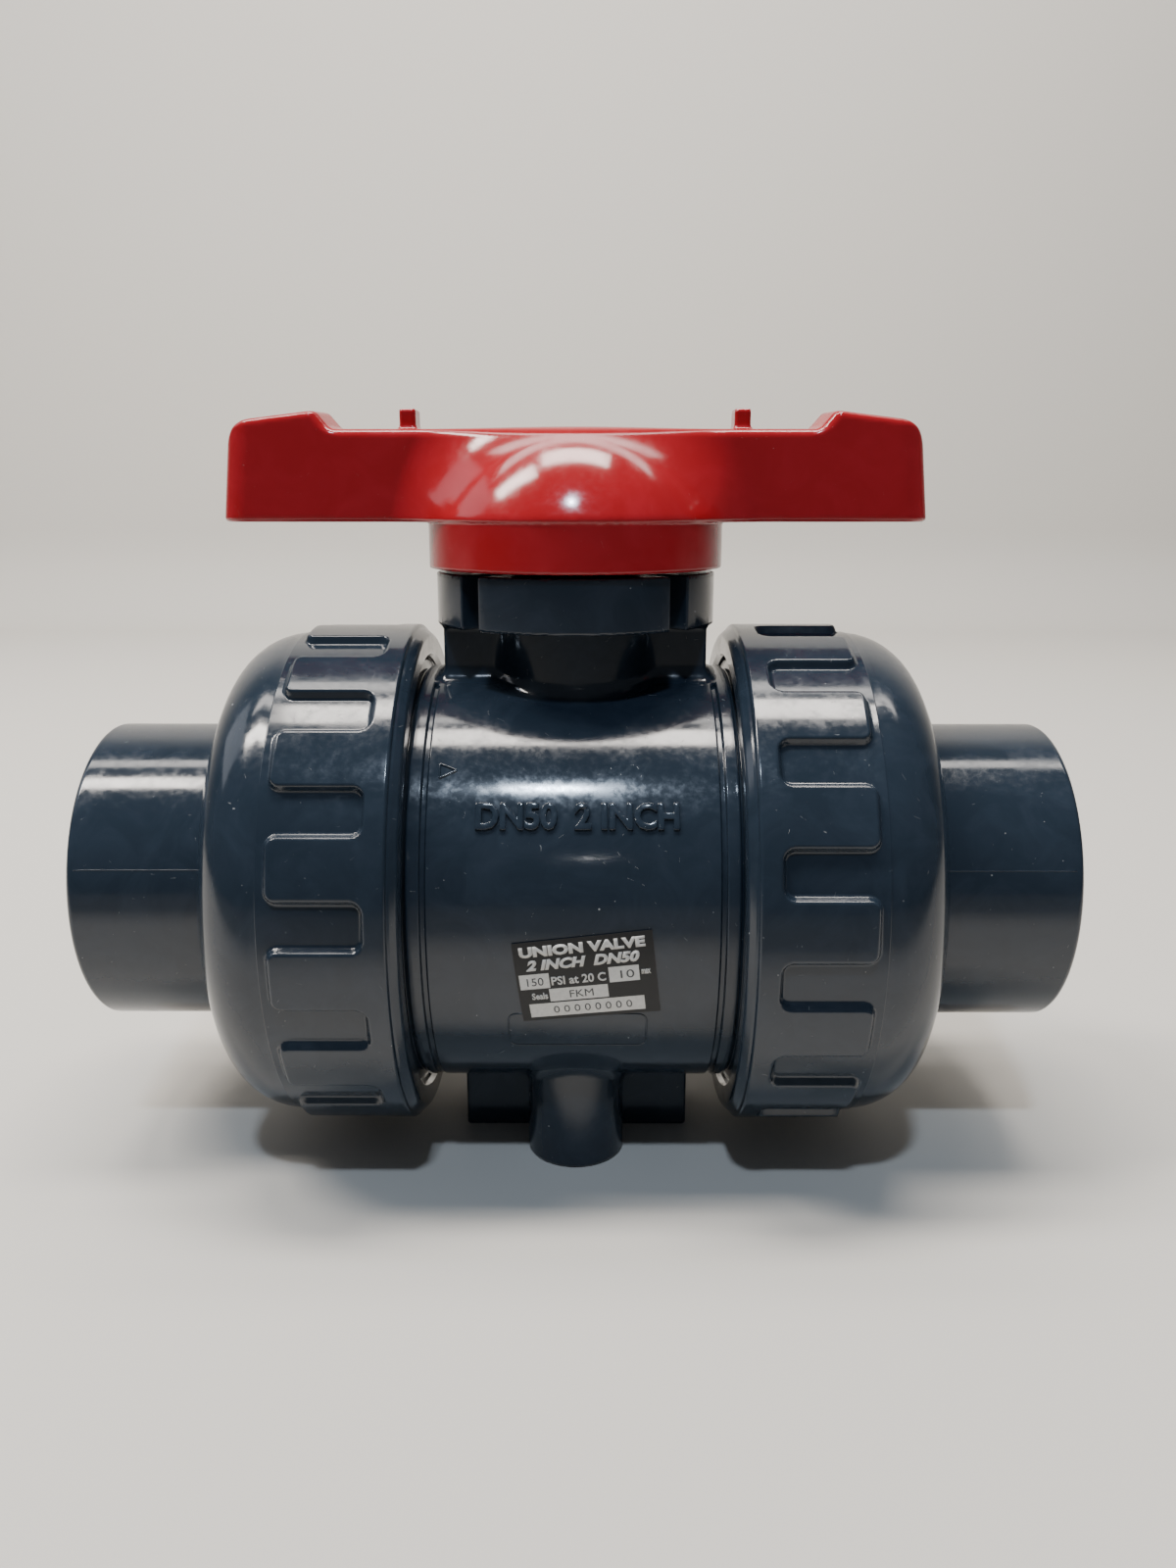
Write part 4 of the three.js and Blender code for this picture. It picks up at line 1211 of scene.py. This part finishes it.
class VALVE_OT_stage(bpy.types.Operator):
    """Floor, backdrop, lamps and camera"""
    bl_idname = "valve.stage"
    bl_label = "Stage"

    def execute(self, context):
        settings = context.scene.stage_settings
        self.sweep(settings.floor)
        area_light("ceiling_lamp", (0.0, 0.0, 1.6), 0.9, 0.28, 25, "#fff8f0", None)
        area_light("left_lamp", (-0.90, -0.15, 1.5), 0.75, 0.24, 24, "#fff8f0", None)
        area_light("front_lamp", (-0.06, -0.85, 1.45), 0.10, 0.06, 10, "#d8eaff")
        area_light("wall_wash", (0.0, 0.35, 1.5), 2.0, 0.4, 26, "#fffaf4", (0.0, 1.5, 0.5))
        area_light("side_fill", (-1.6, 0.3, 1.2), 0.8, 0.8, 3, "#f4f7ff")
        above_eye = Vector(settings.eye) + Vector((0.0, -0.03, 0.035))
        area_light("eye_light", above_eye, 0.003, 0.003, 0.003)
        self.surroundings(context)
        camera = bpy.data.cameras.new("main_view")
        camera.sensor_width = 36.0
        camera.lens = settings.lens
        camera.clip_start = 0.01
        holder = bpy.data.objects.new("main_view", camera)
        holder.location = settings.eye
        holder.rotation_euler = Euler((math.pi / 2 - settings.pitch, 0.0, settings.heading))
        bpy.context.collection.objects.link(holder)
        context.scene.camera = holder
        return {"FINISHED"}

    @staticmethod
    def sweep(colour):
        """A floor that curves up into a backdrop, seamless and pale, with painted shade that darkens the
        floor in front of the valve.
        """
        near, far, height, bend, half = -2.5, 1.3, 4.0, 0.12, 8.0
        line = [(near, 0.0), (far - bend, 0.0)]
        line += [(far - bend + bend * math.sin(a), bend - bend * math.cos(a))
                 for a in np.linspace(0.2, math.pi / 2, 8)]
        line.append((far, height))
        points = [(x, y, z) for y, z in line for x in (-half, half)]
        faces = [(2 * i, 2 * i + 1, 2 * i + 3, 2 * i + 2) for i in range(len(line) - 1)]
        mesh = bpy.data.meshes.new("backdrop")
        mesh.from_pydata(points, [], faces)
        mesh.shade_smooth()
        floor = bpy.data.objects.new("backdrop", mesh)
        bpy.context.collection.objects.link(floor)
        painted, tree, place = new_material("board_with_painted_shade")
        depth = add(tree, "ShaderNodeSeparateXYZ", {"Vector": place})
        # Painted shade: the floor's colour runs from pale to dark grey towards the front, standing in for
        # shade falling in front of the valve.
        front_shade_fade = add(tree, "ShaderNodeMapRange", {
            "Value": depth.outputs["Y"], "From Min": -0.27, "From Max": -0.15})
        shade = ramp(tree, front_shade_fade.outputs["Result"], [(0.0, linear("#6c6b68")), (1.0, linear(colour))])
        surface = add(tree, "ShaderNodeBsdfPrincipled", {"Base Color": shade, "Roughness": 0.75})
        add(tree, "ShaderNodeOutputMaterial", {"Surface": surface.outputs["BSDF"]})
        mesh.materials.append(painted)

    @staticmethod
    def surroundings(context):
        """Dim cool light from all round."""
        world = bpy.data.worlds.new("soft_room")
        world.use_nodes = True
        tree = world.node_tree
        tree.nodes.clear()
        background = add(tree, "ShaderNodeBackground", {"Color": linear("#8a9099"), "Strength": 0.32})
        add(tree, "ShaderNodeOutputWorld", {"Surface": background.outputs["Background"]})
        context.scene.world = world


OPERATORS = (
    VALVE_OT_barrel, VALVE_OT_neck, VALVE_OT_foot, VALVE_OT_union_nuts, VALVE_OT_connectors,
    VALVE_OT_handle, VALVE_OT_inside, VALVE_OT_markings, VALVE_OT_label, VALVE_OT_stage,
)


class VALVE_PT_panel(bpy.types.Panel):
    """Buttons and sizes for the valve"""
    bl_idname = "VALVE_PT_panel"
    bl_label = "Ball valve"
    bl_space_type = "VIEW_3D"
    bl_region_type = "UI"
    bl_category = "Valve"

    def draw(self, context):
        for operator in OPERATORS:
            self.layout.operator(operator.bl_idname)
        for name in SETTINGS:
            group = getattr(context.scene, name)
            column = self.layout.column()
            for key in group.__annotations__:
                column.prop(group, key)


SETTINGS = {
    "casing_sizes": CasingSizes, "nut_sizes": NutSizes, "handle_sizes": HandleSizes,
    "label_sizes": LabelSizes, "stage_settings": StageSettings,
}


def register():
    for group in SETTINGS.values():
        bpy.utils.register_class(group)
    for operator in OPERATORS:
        bpy.utils.register_class(operator)
    bpy.utils.register_class(VALVE_PT_panel)
    for name, group in SETTINGS.items():
        setattr(bpy.types.Scene, name, PointerProperty(type=group))


def unregister():
    for name in SETTINGS:
        delattr(bpy.types.Scene, name)
    bpy.utils.unregister_class(VALVE_PT_panel)
    for operator in reversed(OPERATORS):
        bpy.utils.unregister_class(operator)
    for group in SETTINGS.values():
        bpy.utils.unregister_class(group)


def main():
    register()
    for operator in OPERATORS:
        group, name = operator.bl_idname.split(".")
        getattr(getattr(bpy.ops, group), name)()


if __name__ == "__main__":
    main()
